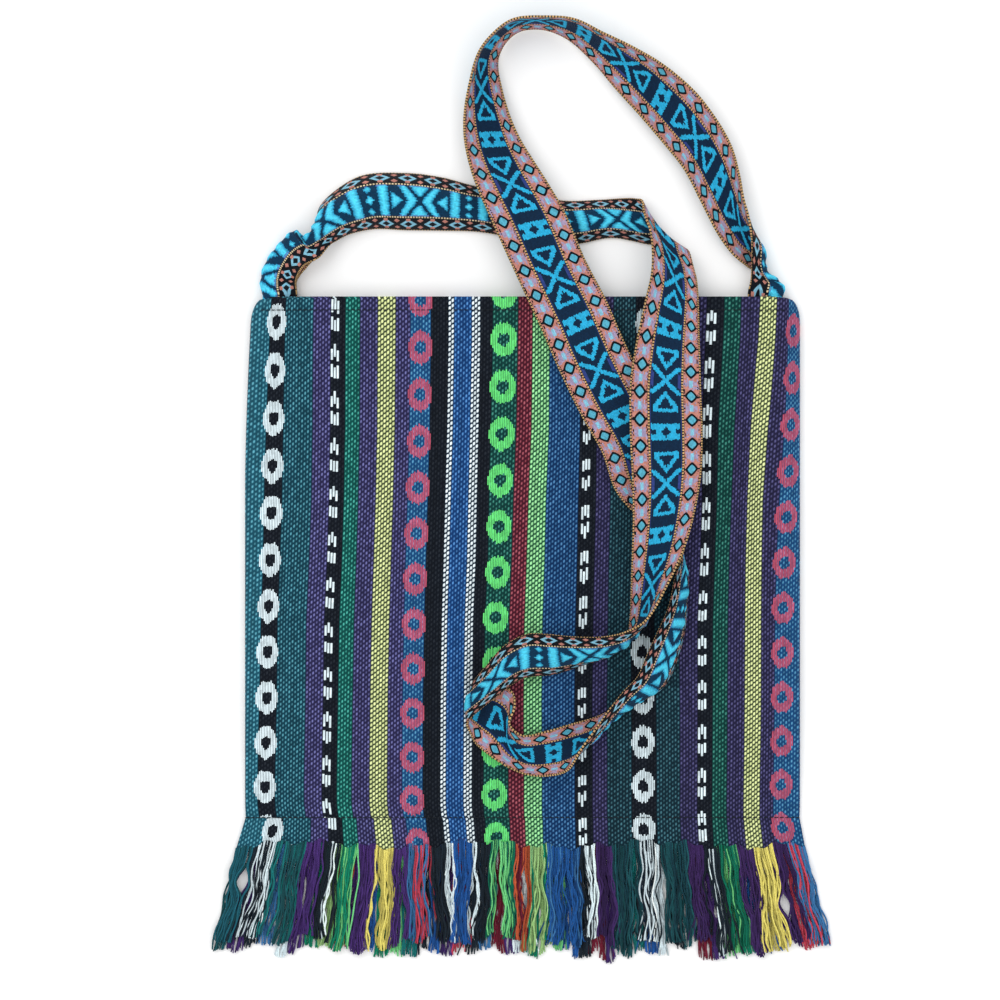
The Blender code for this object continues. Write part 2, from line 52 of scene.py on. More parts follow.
# %% Camera
PIXEL = 0.0006
VIEW_CENTRE = (-0.0135, 0.0444)
CAMERA_HEIGHT = 3.0


def add_object(name, data):
    """Makes an object of this data and puts it in the scene."""
    made = bpy.data.objects.new(name, data)
    bpy.context.scene.collection.objects.link(made)
    return made


camera_data = bpy.data.cameras.new("camera")
camera_data.sensor_width = 36.0
camera_data.lens = 36.0 * CAMERA_HEIGHT / (1000 * PIXEL)
camera = add_object("camera", camera_data)
camera.location = (*VIEW_CENTRE, CAMERA_HEIGHT)
bpy.context.scene.camera = camera
bpy.context.scene.view_settings.view_transform = "Standard"
print("lens", round(camera_data.lens), "mm")

# %% [markdown]
# Soft studio light: an even white sky, one broad lamp from the upper left and a weaker one from the
# right. Their level is low enough that a colour renders about as it is written.

# %% Light
world = bpy.data.worlds.new("studio")
world.use_nodes = True
world.node_tree.nodes["Background"].inputs["Color"].default_value = (1.0, 1.0, 1.0, 1.0)
world.node_tree.nodes["Background"].inputs["Strength"].default_value = 1.0
bpy.context.scene.world = world


def add_softbox(name, place, size, watts):
    """A square lamp that faces the middle of the bag."""
    data = bpy.data.lights.new(name, "AREA")
    data.size = size
    data.energy = watts
    lamp = add_object(name, data)
    lamp.location = place
    lamp.rotation_euler = lamp.location.to_track_quat("Z", "Y").to_euler()


add_softbox("key_softbox", (-0.9, 1.1, 1.6), 1.4, 10.5)
add_softbox("fill_softbox", (1.3, -0.6, 1.5), 1.2, 4.0)

# %% [markdown]
# Materials are built from small arithmetic nodes. These helpers keep such a tree readable: each call
# adds one node and gives back its output, and plain numbers can stand in for sockets.

# %% Node helpers


class Arithmetic:
    """Masks and sums that read the same for a material's nodes and for plain numbers."""

    def add(self, a, b):
        return self.sum("ADD", a, b)

    def less(self, a, b):
        return self.sum("LESS_THAN", a, b)

    def more(self, a, b):
        return self.sum("GREATER_THAN", a, b)

    def times(self, a, b):
        return self.sum("MULTIPLY", a, b)

    def minus(self, a, b):
        return self.sum("SUBTRACT", a, b)

    def either(self, *masks):
        found = masks[0]
        for mask in masks[1:]:
            found = self.sum("MAXIMUM", found, mask)
        return found

    def both(self, *masks):
        found = masks[0]
        for mask in masks[1:]:
            found = self.times(found, mask)
        return found

    def opposite(self, mask):
        return self.minus(1.0, mask)

    def size_of(self, value):
        return self.sum("ABSOLUTE", value)

    def near(self, value, centre, reach):
        return self.less(self.size_of(self.minus(value, centre)), reach)

    def within(self, value, low, high):
        return self.both(self.more(value, low), self.less(value, high))


class GridMaths(Arithmetic):
    """The same sums on arrays of numbers, for the relief of a ribbon."""

    def sum(self, operation, *values):
        first = np.asarray(values[0], dtype=float)
        rest = values[1:]
        kinds = {
            "ADD": lambda: first + rest[0],
            "SUBTRACT": lambda: first - rest[0],
            "MULTIPLY": lambda: first * rest[0],
            "MAXIMUM": lambda: np.maximum(first, rest[0]),
            "MINIMUM": lambda: np.minimum(first, rest[0]),
            "ABSOLUTE": lambda: np.abs(first),
            "FLOOR": lambda: np.floor(first),
        }
        return kinds[operation]()


class NodeMaths(Arithmetic):
    """The sums as nodes of one material, one call at a time."""

    def __init__(self, material):
        material.use_nodes = True
        self.tree = material.node_tree
        self.shader = self.tree.nodes["Principled BSDF"]

    def node(self, kind, **settings):
        made = self.tree.nodes.new(kind)
        for key, value in settings.items():
            setattr(made, key, value)
        return made

    def plug(self, value, socket):
        if isinstance(value, bpy.types.NodeSocket):
            self.tree.links.new(value, socket)
        else:
            socket.default_value = value

    def sum(self, operation, *values, clamp=False):
        made = self.node("ShaderNodeMath", operation=operation, use_clamp=clamp)
        for value, socket in zip(values, made.inputs):
            self.plug(value, socket)
        return made.outputs[0]

    def ramp(self, value, stops, interpolation="LINEAR"):
        made = self.node("ShaderNodeValToRGB")
        ramp = made.color_ramp
        ramp.interpolation = interpolation
        while len(ramp.elements) < len(stops):
            ramp.elements.new(1.0)
        for element, (place, colour) in zip(ramp.elements, sorted(stops, key=lambda stop: stop[0])):
            element.position = place
            element.color = (*colour, 1.0)
        self.plug(value, made.inputs["Fac"])
        return made.outputs["Color"]

    def blend(self, share, first, second):
        made = self.node("ShaderNodeMix", data_type="RGBA")
        self.plug(share, made.inputs["Factor"])
        for value, name in ((first, "A"), (second, "B")):
            socket = [s for s in made.inputs if s.name == name and s.type == "RGBA"][0]
            self.plug((*value, 1.0) if isinstance(value, tuple) else value, socket)
        return [s for s in made.outputs if s.type == "RGBA"][0]

    def shaded(self, colour, light):
        """The colour made lighter or darker by a number around 1."""
        made = self.node("ShaderNodeVectorMath", operation="SCALE")
        self.plug(colour, made.inputs[0])
        self.plug(light, made.inputs["Scale"])
        return made.outputs["Vector"]

    def chance(self, *values):
        """A steady random number from 0 to 1 for each set of values."""
        joined = self.node("ShaderNodeCombineXYZ")
        for value, socket in zip(values, joined.inputs):
            self.plug(value, socket)
        made = self.node("ShaderNodeTexWhiteNoise")
        self.tree.links.new(joined.outputs[0], made.inputs["Vector"])
        return made.outputs["Value"]

    def map_sockets(self):
        """The piece's own map: across and along, as two numbers in millimetres."""
        made = self.node("ShaderNodeUVMap", uv_map="cloth")
        split = self.node("ShaderNodeSeparateXYZ")
        self.tree.links.new(made.outputs["UV"], split.inputs[0])
        return self.times(split.outputs[0], 1000.0), self.times(split.outputs[1], 1000.0)

    def finish(self, colour, height, depth, roughness=0.9, sheen=0.03):
        """Ends the tree in the shader, with its relief as a bump."""
        self.tree.links.new(colour, self.shader.inputs["Base Color"])
        self.shader.inputs["Roughness"].default_value = roughness
        self.shader.inputs["Sheen Weight"].default_value = sheen
        self.shader.inputs["Sheen Roughness"].default_value = 0.5
        self.shader.inputs["Specular IOR Level"].default_value = 0.12
        bump = self.node("ShaderNodeBump")
        bump.inputs["Strength"].default_value = 0.9
        bump.inputs["Distance"].default_value = depth
        self.tree.links.new(height, bump.inputs["Height"])
        self.tree.links.new(bump.outputs["Normal"], self.shader.inputs["Normal"])


# %% [markdown]
# The stripes are warp yarns of many colours, set side by side in the loom. Each stripe is a width in
# millimetres and the name of a yarn. A yarn has its own colour on the face of its floats, a lighter
# colour painted on top of them as a highlight, and a darker colour painted in the gaps between them as shade.

# %% Yarn colours and stripes
YARN = {
    # A lighter teal: a highlight painted along the cloth's left edge.
    "edge_lit_teal": (0.015, 0.121, 0.176),
    "teal": (0.009, 0.070, 0.108),
    "deep": (0.006, 0.032, 0.048),
    "night": (0.005, 0.009, 0.016),
    "purple": (0.040, 0.040, 0.125),
    "plum": (0.026, 0.026, 0.080),
    "green": (0.001, 0.105, 0.088),
    "fir": (0.001, 0.060, 0.050),
    "yellow": (0.627, 0.717, 0.302),
    "blue": (0.009, 0.073, 0.248),
    "sea_blue": (0.010, 0.071, 0.206),
    "mist": (0.012, 0.076, 0.196),
    "white": (0.720, 0.850, 0.900),
    "lime": (0.150, 0.810, 0.200),
    "leaf": (0.260, 0.620, 0.270),
    "red": (0.150, 0.012, 0.030),
    "rose": (0.500, 0.082, 0.135),
}
# Painted highlight: a lighter colour painted on the top of each float of the yarn.
FLOAT_HIGHLIGHT = {
    "edge_lit_teal": (0.101, 0.336, 0.420),
    "teal": (0.084, 0.294, 0.361),
    "deep": (0.050, 0.151, 0.187),
    "night": (0.015, 0.019, 0.026),
    "purple": (0.150, 0.155, 0.370),
    "plum": (0.092, 0.088, 0.218),
    "green": (0.067, 0.378, 0.311),
    "fir": (0.050, 0.235, 0.185),
    "yellow": (0.760, 0.820, 0.400),
    "blue": (0.084, 0.244, 0.521),
    "sea_blue": (0.076, 0.218, 0.403),
    "mist": (0.085, 0.280, 0.450),
    "white": (0.820, 0.900, 0.930),
    "leaf": (0.350, 0.800, 0.360),
    "red": (0.370, 0.101, 0.126),
}
# Painted shade: a darker colour of each yarn, painted in the gaps between its floats.
GAP_SHADE = {
    "edge_lit_teal": (0.008, 0.071, 0.112),
    "teal": (0.003, 0.040, 0.065),
    "deep": (0.003, 0.019, 0.031),
    "night": (0.003, 0.005, 0.010),
    "purple": (0.019, 0.016, 0.062),
    "plum": (0.014, 0.012, 0.043),
    "green": (0.002, 0.062, 0.056),
    "fir": (0.002, 0.037, 0.034),
    "yellow": (0.044, 0.060, 0.032),
    "blue": (0.005, 0.037, 0.147),
    "sea_blue": (0.003, 0.025, 0.093),
    "mist": (0.006, 0.056, 0.171),
    "white": (0.008, 0.019, 0.042),
    "leaf": (0.012, 0.084, 0.039),
    "red": (0.053, 0.008, 0.019),
}
# The first stripe is the lighter teal painted as a highlight along the cloth's left edge.
STRIPES = [
    ("edge_lit_teal", 5.4), ("night", 12.6), ("teal", 17.0), ("purple", 10.0), ("night", 9.3),
    ("green", 10.2), ("purple", 9.9), ("yellow", 10.7), ("purple", 8.9), ("mist", 13.3),
    ("night", 8.9), ("white", 3.8), ("blue", 11.8), ("white", 3.2), ("night", 8.4),
    ("fir", 14.2), ("red", 8.9), ("leaf", 9.9), ("sea_blue", 20.3), ("night", 9.7),
    ("plum", 9.0), ("deep", 16.2), ("night", 12.6), ("deep", 15.6), ("plum", 10.0),
    ("night", 9.2), ("fir", 9.8), ("plum", 10.0), ("yellow", 10.4), ("plum", 8.2),
    ("mist", 14.6),
]
BAG_WIDTH_MM = sum(width for _, width in STRIPES)
print("stripes", len(STRIPES), "width", round(BAG_WIDTH_MM, 1), "mm")


def stripe_starts():
    starts = [0.0]
    for _, width in STRIPES:
        starts.append(starts[-1] + width)
    return starts


def yarn_under(across):
    """The name of the yarn at this many millimetres from the left side."""
    for (yarn, _), end in zip(STRIPES, stripe_starts()[1:]):
        if across < end:
            return yarn
    return STRIPES[-1][0]


# %% [markdown]
# The cloth's pattern is worked out thread by thread, as a loom does: first which warp thread and which
# pick of weft a point lies on, and then whether the face colour floats there. Rings and dashes are
# tested at the middle of each thread, so their edges come out stepped like the woven ones.

# %% Woven stripe material
THREAD_PITCH = 1.78
PICK_PITCH = 3.1
RING_COLUMNS = [
    # middle, half width, half height, first centre along, repeat, yarn
    (11.7, 6.7, 10.7, 14.5, 29.3, "white"),
    (238.0, 6.6, 10.7, 16.0, 29.1, "white"),
    (100.6, 7.4, 10.0, 30.2, 28.62, "rose"),
    (323.6, 7.2, 10.0, 20.0, 28.62, "rose"),
    (150.4, 7.3, 10.2, 25.4, 28.74, "lime"),
]
DASH_COLUMNS = [
    # middle, first centre along, repeat
    (48.95, 10.5, 28.7),
    (202.03, 21.0, 28.8),
    (273.23, 17.8, 28.75),
]


def ring_mask(maths, across, along, column):
    """An upright ring woven in strokes: inside one oval and outside a smaller one."""
    middle, half_width, half_height, first, repeat, _ = column
    side = maths.minus(across, middle)
    turn = maths.sum("WRAP", maths.minus(along, first), repeat / 2, -repeat / 2)
    outer = maths.add(
        maths.sum("POWER", maths.size_of(maths.times(side, 1 / half_width)), 2.0),
        maths.sum("POWER", maths.size_of(maths.times(turn, 1 / half_height)), 2.0),
    )
    inner = maths.add(
        maths.sum("POWER", maths.size_of(maths.times(side, 2.15 / half_width)), 2.0),
        maths.sum("POWER", maths.size_of(maths.times(turn, 2.60 / half_height)), 2.0),
    )
    return maths.both(maths.less(outer, 1.0), maths.more(inner, 1.0))


def dash_mask(maths, across, along, column):
    """A pair of small arrow heads, one pointing up and one down, of three strokes each."""
    middle, first, repeat = column
    side = maths.size_of(maths.minus(across, middle))
    turn = maths.sum("WRAP", maths.minus(along, first), repeat / 2, -repeat / 2)
    heads = []
    for centre, pointing in ((-5.8, -1.0), (5.8, 1.0)):
        reach = maths.times(maths.minus(turn, centre), pointing)
        drawn_back = maths.add(reach, maths.times(side, 0.9))
        heads.append(maths.both(maths.within(drawn_back, -2.6, 4.4), maths.less(side, 2.7)))
    return maths.either(*heads)


def woven_material():
    """Striped warp-faced cotton, thread by thread."""
    material = bpy.data.materials.new("woven_stripe_cotton")
    maths = NodeMaths(material)
    across, along = maths.map_sockets()
    thread = maths.sum("FLOOR", maths.times(across, 1 / THREAD_PITCH))
    in_thread = maths.sum("FRACT", maths.times(across, 1 / THREAD_PITCH))
    odd = maths.sum("MODULO", thread, 2.0)
    shift = maths.add(maths.times(odd, 0.5), maths.times(maths.chance(thread, 3.0, 0.0), 0.20))
    shift = maths.add(shift, maths.times(in_thread, 0.24))
    pick = maths.add(maths.times(along, 1 / PICK_PITCH), shift)
    in_pick = maths.sum("FRACT", pick)
    pick_number = maths.sum("FLOOR", pick)
    round_across = maths.sum("SINE", maths.times(in_thread, math.pi))
    in_float = maths.sum("MINIMUM", maths.times(in_pick, 1 / 0.80), 1.0)
    round_along = maths.sum("SINE", maths.times(in_float, math.pi))
    dome = maths.times(
        maths.sum("POWER", round_across, 0.6),
        maths.sum("POWER", maths.sum("MAXIMUM", round_along, 0.0), 0.55),
    )

    middle = maths.times(maths.add(thread, 0.5), THREAD_PITCH)

    def steps_of(thread_number, pitch, length):
        """The middle of the float that a figure's thread shows here, and the middle of that thread."""
        ragged = maths.minus(maths.chance(thread_number, 7.0, 0.0), 0.5)
        steps = maths.add(maths.times(along, 1 / length), maths.times(ragged, 1.3))
        level = maths.times(maths.add(maths.sum("FLOOR", steps), 0.5), length)
        return maths.times(maths.add(thread_number, 0.5), pitch), level

    fine_pitch = THREAD_PITCH * 0.55
    fine_thread = maths.sum("FLOOR", maths.times(across, 1 / fine_pitch))
    in_fine = maths.sum("FRACT", maths.times(across, 1 / fine_pitch))
    fine_middle, fine_level = steps_of(fine_thread, fine_pitch, 1.1)
    level = steps_of(thread, THREAD_PITCH, 1.3)[1]
    round_fine = maths.sum("SINE", maths.times(in_fine, math.pi))
    fine_stroke = maths.sum("MULTIPLY_ADD", round_fine, 1.35, -0.08, clamp=True)

    share = maths.times(middle, 1 / BAG_WIDTH_MM)
    starts = stripe_starts()
    face, gap, float_highlight = [
        maths.ramp(share, [(s / BAG_WIDTH_MM, table[y]) for (y, _), s in zip(STRIPES, starts)], "CONSTANT")
        for table in (YARN, GAP_SHADE, FLOAT_HIGHLIGHT)
    ]
    # Where the painted highlight lies: the round top of each float.
    highlight_shape = maths.times(
        maths.sum("POWER", round_across, 1.5),
        maths.sum("POWER", maths.sum("MAXIMUM", round_along, 0.0), 0.7),
    )
    float_tone = maths.chance(thread, pick_number, 5.0)
    showing = maths.sum("MULTIPLY_ADD", dome, 2.2, -0.62, clamp=True)
    least_glint = maths.minus(maths.times(float_tone, 0.60), 1.20)
    glint = maths.sum("MULTIPLY_ADD", highlight_shape, 2.0, least_glint, clamp=True)
    # Painted shade in the gaps between the floats, where the face does not show.
    colour = maths.blend(showing, gap, face)
    # The painted highlight on the floats' tops.
    colour = maths.blend(glint, colour, float_highlight)
    stroke = maths.sum("MULTIPLY_ADD", round_across, 1.6, -0.25, clamp=True)
    figure = None
    for column in RING_COLUMNS:
        mask = ring_mask(maths, fine_middle, fine_level, column)
        figure = mask if figure is None else maths.either(figure, mask)
        colour = maths.blend(maths.times(mask, fine_stroke), colour, YARN[column[5]])
    for column in DASH_COLUMNS:
        mask = dash_mask(maths, middle, level, column)
        figure = maths.either(figure, mask)
        colour = maths.blend(maths.times(mask, stroke), colour, YARN["white"])

    thread_tone = maths.chance(thread, 11.0, 0.0)
    tone = maths.add(0.74, maths.add(maths.times(thread_tone, 0.18), maths.times(float_tone, 0.32)))
    colour = maths.shaded(colour, tone)
    height = maths.either(dome, maths.times(figure, maths.add(0.35, maths.times(round_across, 0.65))))
    maths.finish(colour, height, 0.0005)
    return material


woven = woven_material()
print("woven material:", len(woven.node_tree.nodes), "nodes")

# %% [markdown]
# The pocket is two cloths. The front one lies over the back one like a thin pillow that closes down at
# the sides and at the foot seam. Its form follows one formula, so it is laid out as a fine grid of
# points, with its hem turned over at the mouth. Shallow ripples cross it, and it puckers a little
# where the foot seam pulls.

# %% Size of the pocket
BAG_WIDTH = 0.332
BAG_HEIGHT = 0.330
CLOTH = 0.0008
CLEARANCE = 0.0003
BAG_LOFT = 0.0100
FOOT_RISE = 0.075
CORNER_ROUND = 0.014
HEM_DEPTH = 0.007
HEM_FOLD = 0.0014
FOOT_SEAM_UP = 0.019
MOUTH_Y = BAG_HEIGHT / 2
FOOT_Y = -BAG_HEIGHT / 2
SEAM_Y = FOOT_Y + FOOT_SEAM_UP
FRONT_SEAM = CLOTH * 1.5 + CLEARANCE


def smooth_step(value):
    value = np.clip(value, 0.0, 1.0)
    return value * value * (3 - 2 * value)


def half_width(y):
    rise = 1 - np.clip((MOUTH_Y - y) / CORNER_ROUND, 0.0, 1.0)
    return BAG_WIDTH / 2 - 0.5 * CORNER_ROUND * (1 - np.sqrt(1 - rise * rise))


def front_height(across, y):
    crown = np.clip(1 - np.abs(across) ** 8, 0.0, 1.0) ** (1 / 3)
    above_seam = np.clip((y - SEAM_Y) / FOOT_RISE, 0.0, 1.0)
    loft = BAG_LOFT * crown * (1 - (1 - above_seam) ** 2)
    calm = crown * np.clip(above_seam * 2, 0.0, 1.0) * np.clip((MOUTH_Y - y) / 0.02, 0.0, 1.0)
    x = across * BAG_WIDTH / 2
    ripple = np.sin(x * 47 + 3 * np.sin(y * 21)) * np.sin(y * 34 + 1.3) * 0.00045
    ripple += np.sin(x * 19 - y * 27 + 0.7) * 0.0004
    near_foot = np.exp(-(((y - SEAM_Y) / 0.012) ** 2))
    pucker = np.sin(x * 420 + 2 * np.sin(x * 90)) * 0.00018 * near_foot
    return FRONT_SEAM + loft - np.abs(ripple) * calm + pucker * crown


# How far the stripes wander sideways, in pixels of the photo, at these columns and rows of it
WANDER_COLUMNS = (246, 262, 290, 340, 410, 460, 485, 520, 560, 610, 660, 700, 735, 760, 785, 799)
WANDER = {
    298: (6.0, 9.5, 6.0, 7.0, 7.5, 6.5, 6.0, 8.5, 6.5, 5.5, 2.5, 8.5, 13.5, 15.0, 13.5, 2.5),
    340: (6.0, 9.5, 6.5, 7.0, 7.5, 6.5, 6.0, 8.0, 6.5, 5.5, 1.0, 7.0, 12.5, 13.0, 11.5, 2.0),
    430: (5.5, 8.5, 7.5, 7.5, 6.5, 5.0, 4.0, 6.5, 6.0, 2.0, -0.5, 4.0, 7.0, 4.0, 6.5, 1.0),
    500: (4.5, 7.0, 7.0, 6.5, 4.5, 3.0, 2.5, 3.5, 3.0, 2.0, 1.0, 4.5, 4.0, -0.5, 2.0, -1.5),
    560: (3.5, 6.0, 4.5, 4.5, 2.5, 1.5, 1.5, 1.5, 2.0, 0.5, 1.5, 2.5, 1.5, -1.5, -1.5, -3.5),
    620: (2.5, 4.0, 1.5, 2.0, 1.0, -0.5, -1.5, -0.5, 0.0, -0.5, -2.0, 0.0, 0.5, -2.0, -4.0, -5.0),
    700: (1.0, 2.5, 1.0, 0.5, -0.5, -1.5, -2.0, -1.5, -1.0, -1.5, 0.0, 0.0, 0.0, -2.0, -5.0, -5.5),
    785: (0.0, 0.0, -1.0, -1.0, -1.0, -2.0, -3.0, -1.0, -0.5, -1.0, 1.0, 0.0, -0.5, -3.0, -5.5, -5.5),
}
PHOTO_ORIGIN = (522.5, 574.0)
# Where the weave's left side and its top lie in the photo, and how far down it the rows spread
WEAVE_LEFT = 246.0
WEAVE_TOP = 298.0
WEAVE_ROWS = 490


def left_slope(across, y):
    """The cloth's left side slants in towards the mouth, where the strap pulls its corner."""
    rise = np.clip((y - 0.052) / (MOUTH_Y - 0.052), 0.0, 1.0)
    return np.where(across < 0, 0.0042 * across**4, 0.0) * rise**1.6


def foot_flare(across, y):
    """How far the loose cloth below the foot seam spreads sideways."""
    below = np.clip((SEAM_Y - y) / FOOT_SEAM_UP, 0.0, 1.5)
    return np.where(across < 0, -0.0062 * across**4, 0.0036 * across**4) * below


def weave_end(x):
    """How far down the weave holds before its warp hangs free, as a share of the depth below the seam."""
    return 0.96 + 0.09 * np.sin(x * 61) + 0.07 * np.sin(x * 233 + 1.0) + 0.05 * np.sin(x * 611 + 2.0)


def cloth_map(x, y):
    """Across and along the weave for a place on the bag: the stripes lean a little, as they hang."""
    y = np.broadcast_to(np.asarray(y, dtype=float), np.shape(x))
    jog = 0.0060 * np.exp(-(x + BAG_WIDTH / 2) / 0.055)
    slant = 0.12 * np.clip((0.030 - x) / 0.10, 0.15, 1.0)
    x = x - np.where(y < SEAM_Y, jog, 0.0) - slant * np.clip(SEAM_Y + 0.008 - y, 0.0, None)
    column = PHOTO_ORIGIN[0] + x / PIXEL
    row = PHOTO_ORIGIN[1] - y / PIXEL
    levels = np.array([np.interp(column, WANDER_COLUMNS, line) for line in WANDER.values()])
    step = np.interp(row, list(WANDER), range(len(WANDER)))
    low = np.clip(step.astype(int), 0, len(WANDER) - 2)
    places = np.arange(len(column))
    lean = levels[low, places] * (1 - step + low) + levels[low + 1, places] * (step - low)
    across = (column - lean - WEAVE_LEFT) * PIXEL
    down = row - WEAVE_TOP
    along = down * (1 + 0.05 * down / WEAVE_ROWS) * PIXEL
    return across, along


# %% Build a cloth from a grid of points
HEM_TUCK = 0.010


def grid_piece(name, places, maps, thickness, face_material, back_material=None, raised=None):
    """A closed cloth from rows of middle points: both skins, the rim between them, and its map.

    The upper skin is raised by the given relief, but not where it faces down.
    """
    rows, columns = places.shape[:2]
    du = np.gradient(places, axis=1)
    dv = np.gradient(places, axis=0)
    normal = np.cross(du, dv)
    normal /= np.maximum(np.linalg.norm(normal, axis=2, keepdims=True), 1e-12)
    relief = 0.0 if raised is None else raised[..., None] * np.clip(normal[..., 2:] * 2 + 1, 0, 1)
    upper = places + normal * (thickness / 2 + relief)
    lower = places - normal * thickness / 2
    points = np.concatenate([upper.reshape(-1, 3), lower.reshape(-1, 3)])
    count = rows * columns
    index = np.arange(count).reshape(rows, columns)
    a, b = index[:-1, :-1].ravel(), index[:-1, 1:].ravel()
    c, d = index[1:, 1:].ravel(), index[1:, :-1].ravel()
    top = np.stack([a, b, c, d], axis=1)
    bottom = np.stack([d, c, b, a], axis=1) + count
    loop = np.concatenate(
        [index[0, :-1], index[:-1, -1], index[-1, :0:-1], index[:0:-1, 0]]
    )
    following = np.roll(loop, -1)
    rim = np.stack([following, loop, loop + count, following + count], axis=1)
    faces = np.concatenate([top, bottom, rim])
    mesh = bpy.data.meshes.new(name)
    mesh.from_pydata(points.tolist(), [], faces.tolist())
    flat_map = np.concatenate([maps.reshape(-1, 2), maps.reshape(-1, 2)])
    layer = mesh.uv_layers.new(name="cloth")
    corners = np.empty(len(mesh.loops), dtype=np.int64)
    mesh.loops.foreach_get("vertex_index", corners)
    layer.data.foreach_set("uv", flat_map[corners].astype(np.float32).ravel())
    mesh.materials.append(face_material)
    if back_material is not None:
        mesh.materials.append(back_material)
        sides = [0] * len(top) + [1] * (len(faces) - len(top))
        mesh.polygons.foreach_set("material_index", sides)
    mesh.polygons.foreach_set("use_smooth", [True] * len(mesh.polygons))
    mesh.update()
    return add_object(name, mesh)


def panel_places(height_of, inward, hem_stop):
    """Rows of the panel from the weave's end up to the mouth and round the turned hem."""
    share = np.linspace(-1.0, 1.0, 150)
    across = np.sign(share) * (1 - (1 - np.abs(share)) ** 1.25)
    ys = np.concatenate([
        np.linspace(FOOT_Y, SEAM_Y - 0.002, 9),
        np.linspace(SEAM_Y - 0.0012, SEAM_Y + 0.0012, 5),
        np.linspace(SEAM_Y + 0.002, MOUTH_Y - HEM_DEPTH - 0.001, 110),
        np.linspace(MOUTH_Y - HEM_DEPTH, MOUTH_Y, 8),
    ])
    places, maps = [], []
    for y in ys:
        x = across * half_width(y)
        z = height_of(across, np.full_like(across, y))
        flared = x + foot_flare(across, y) + left_slope(across, y)
        ragged = weave_end(x)
        low = np.where(y < SEAM_Y, SEAM_Y + (y - SEAM_Y) * ragged, y)
        seam_dip = 0.00022 * math.exp(-(((y - SEAM_Y) / 0.0009) ** 2))
        hem_dip = 0.00020 * math.exp(-(((y - MOUTH_Y + HEM_DEPTH) / 0.0009) ** 2))
        dip = inward * (seam_dip + hem_dip)
        places.append(np.stack([flared, low, z + dip], axis=1))
        maps.append(np.stack(cloth_map(x, low), axis=1))
    radius = HEM_FOLD / 2
    x = across * half_width(MOUTH_Y) + left_slope(across, MOUTH_Y)
    mouth_z = height_of(across, np.full_like(across, MOUTH_Y))
    kept = np.clip((1 - np.abs(across)) * BAG_WIDTH / 2 / hem_stop, 0.0, 1.0)
    for turn in np.linspace(0, math.pi, 7)[1:]:
        y = MOUTH_Y + radius * math.sin(turn) * kept
        z = mouth_z + inward * radius * (1 - math.cos(turn)) * kept
        places.append(np.stack([x, y, z], axis=1))
        folded = cloth_map(x, MOUTH_Y)
        maps.append(np.stack([folded[0], folded[1] - radius * turn], axis=1))
    for depth in np.linspace(0, HEM_DEPTH, 5)[1:]:
        y = MOUTH_Y - depth * kept
        z = height_of(across, y) + inward * HEM_FOLD * kept
        places.append(np.stack([x, y, z], axis=1))
        maps.append(np.stack([cloth_map(x, MOUTH_Y)[0], cloth_map(x, 2 * MOUTH_Y - y)[1]], axis=1))
    return np.array(places), np.array(maps)


def back_height(across, y):
    return np.full_like(across, CLOTH / 2)


places, maps = panel_places(front_height, -1, HEM_TUCK)
front_cloth = grid_piece("front_cloth", places, maps, CLOTH, woven)
places, maps = panel_places(back_height, 1, HEM_TUCK)
back_cloth = grid_piece("back_cloth", places, maps, CLOTH * 0.98, woven)
print("front cloth faces:", len(front_cloth.data.polygons))

# %% [markdown]
# The strap is one ribbon that is turned, folded and laid in loops. Its route is a list of places, one
# for each edge of the ribbon, joined by one smooth curve. The ribbon curls between its edges where they
# come closer than its width, and each end is folded in half where it enters the mouth.

# %% The strap's route
STRAP_WIDTH = 0.044
STRAP_THICK = 0.0012
STRAP_STEPS = 1430
STRAP_COLUMNS = 27
MIDDLE_COLUMN = STRAP_COLUMNS // 2
CURVE_POINTS = 97

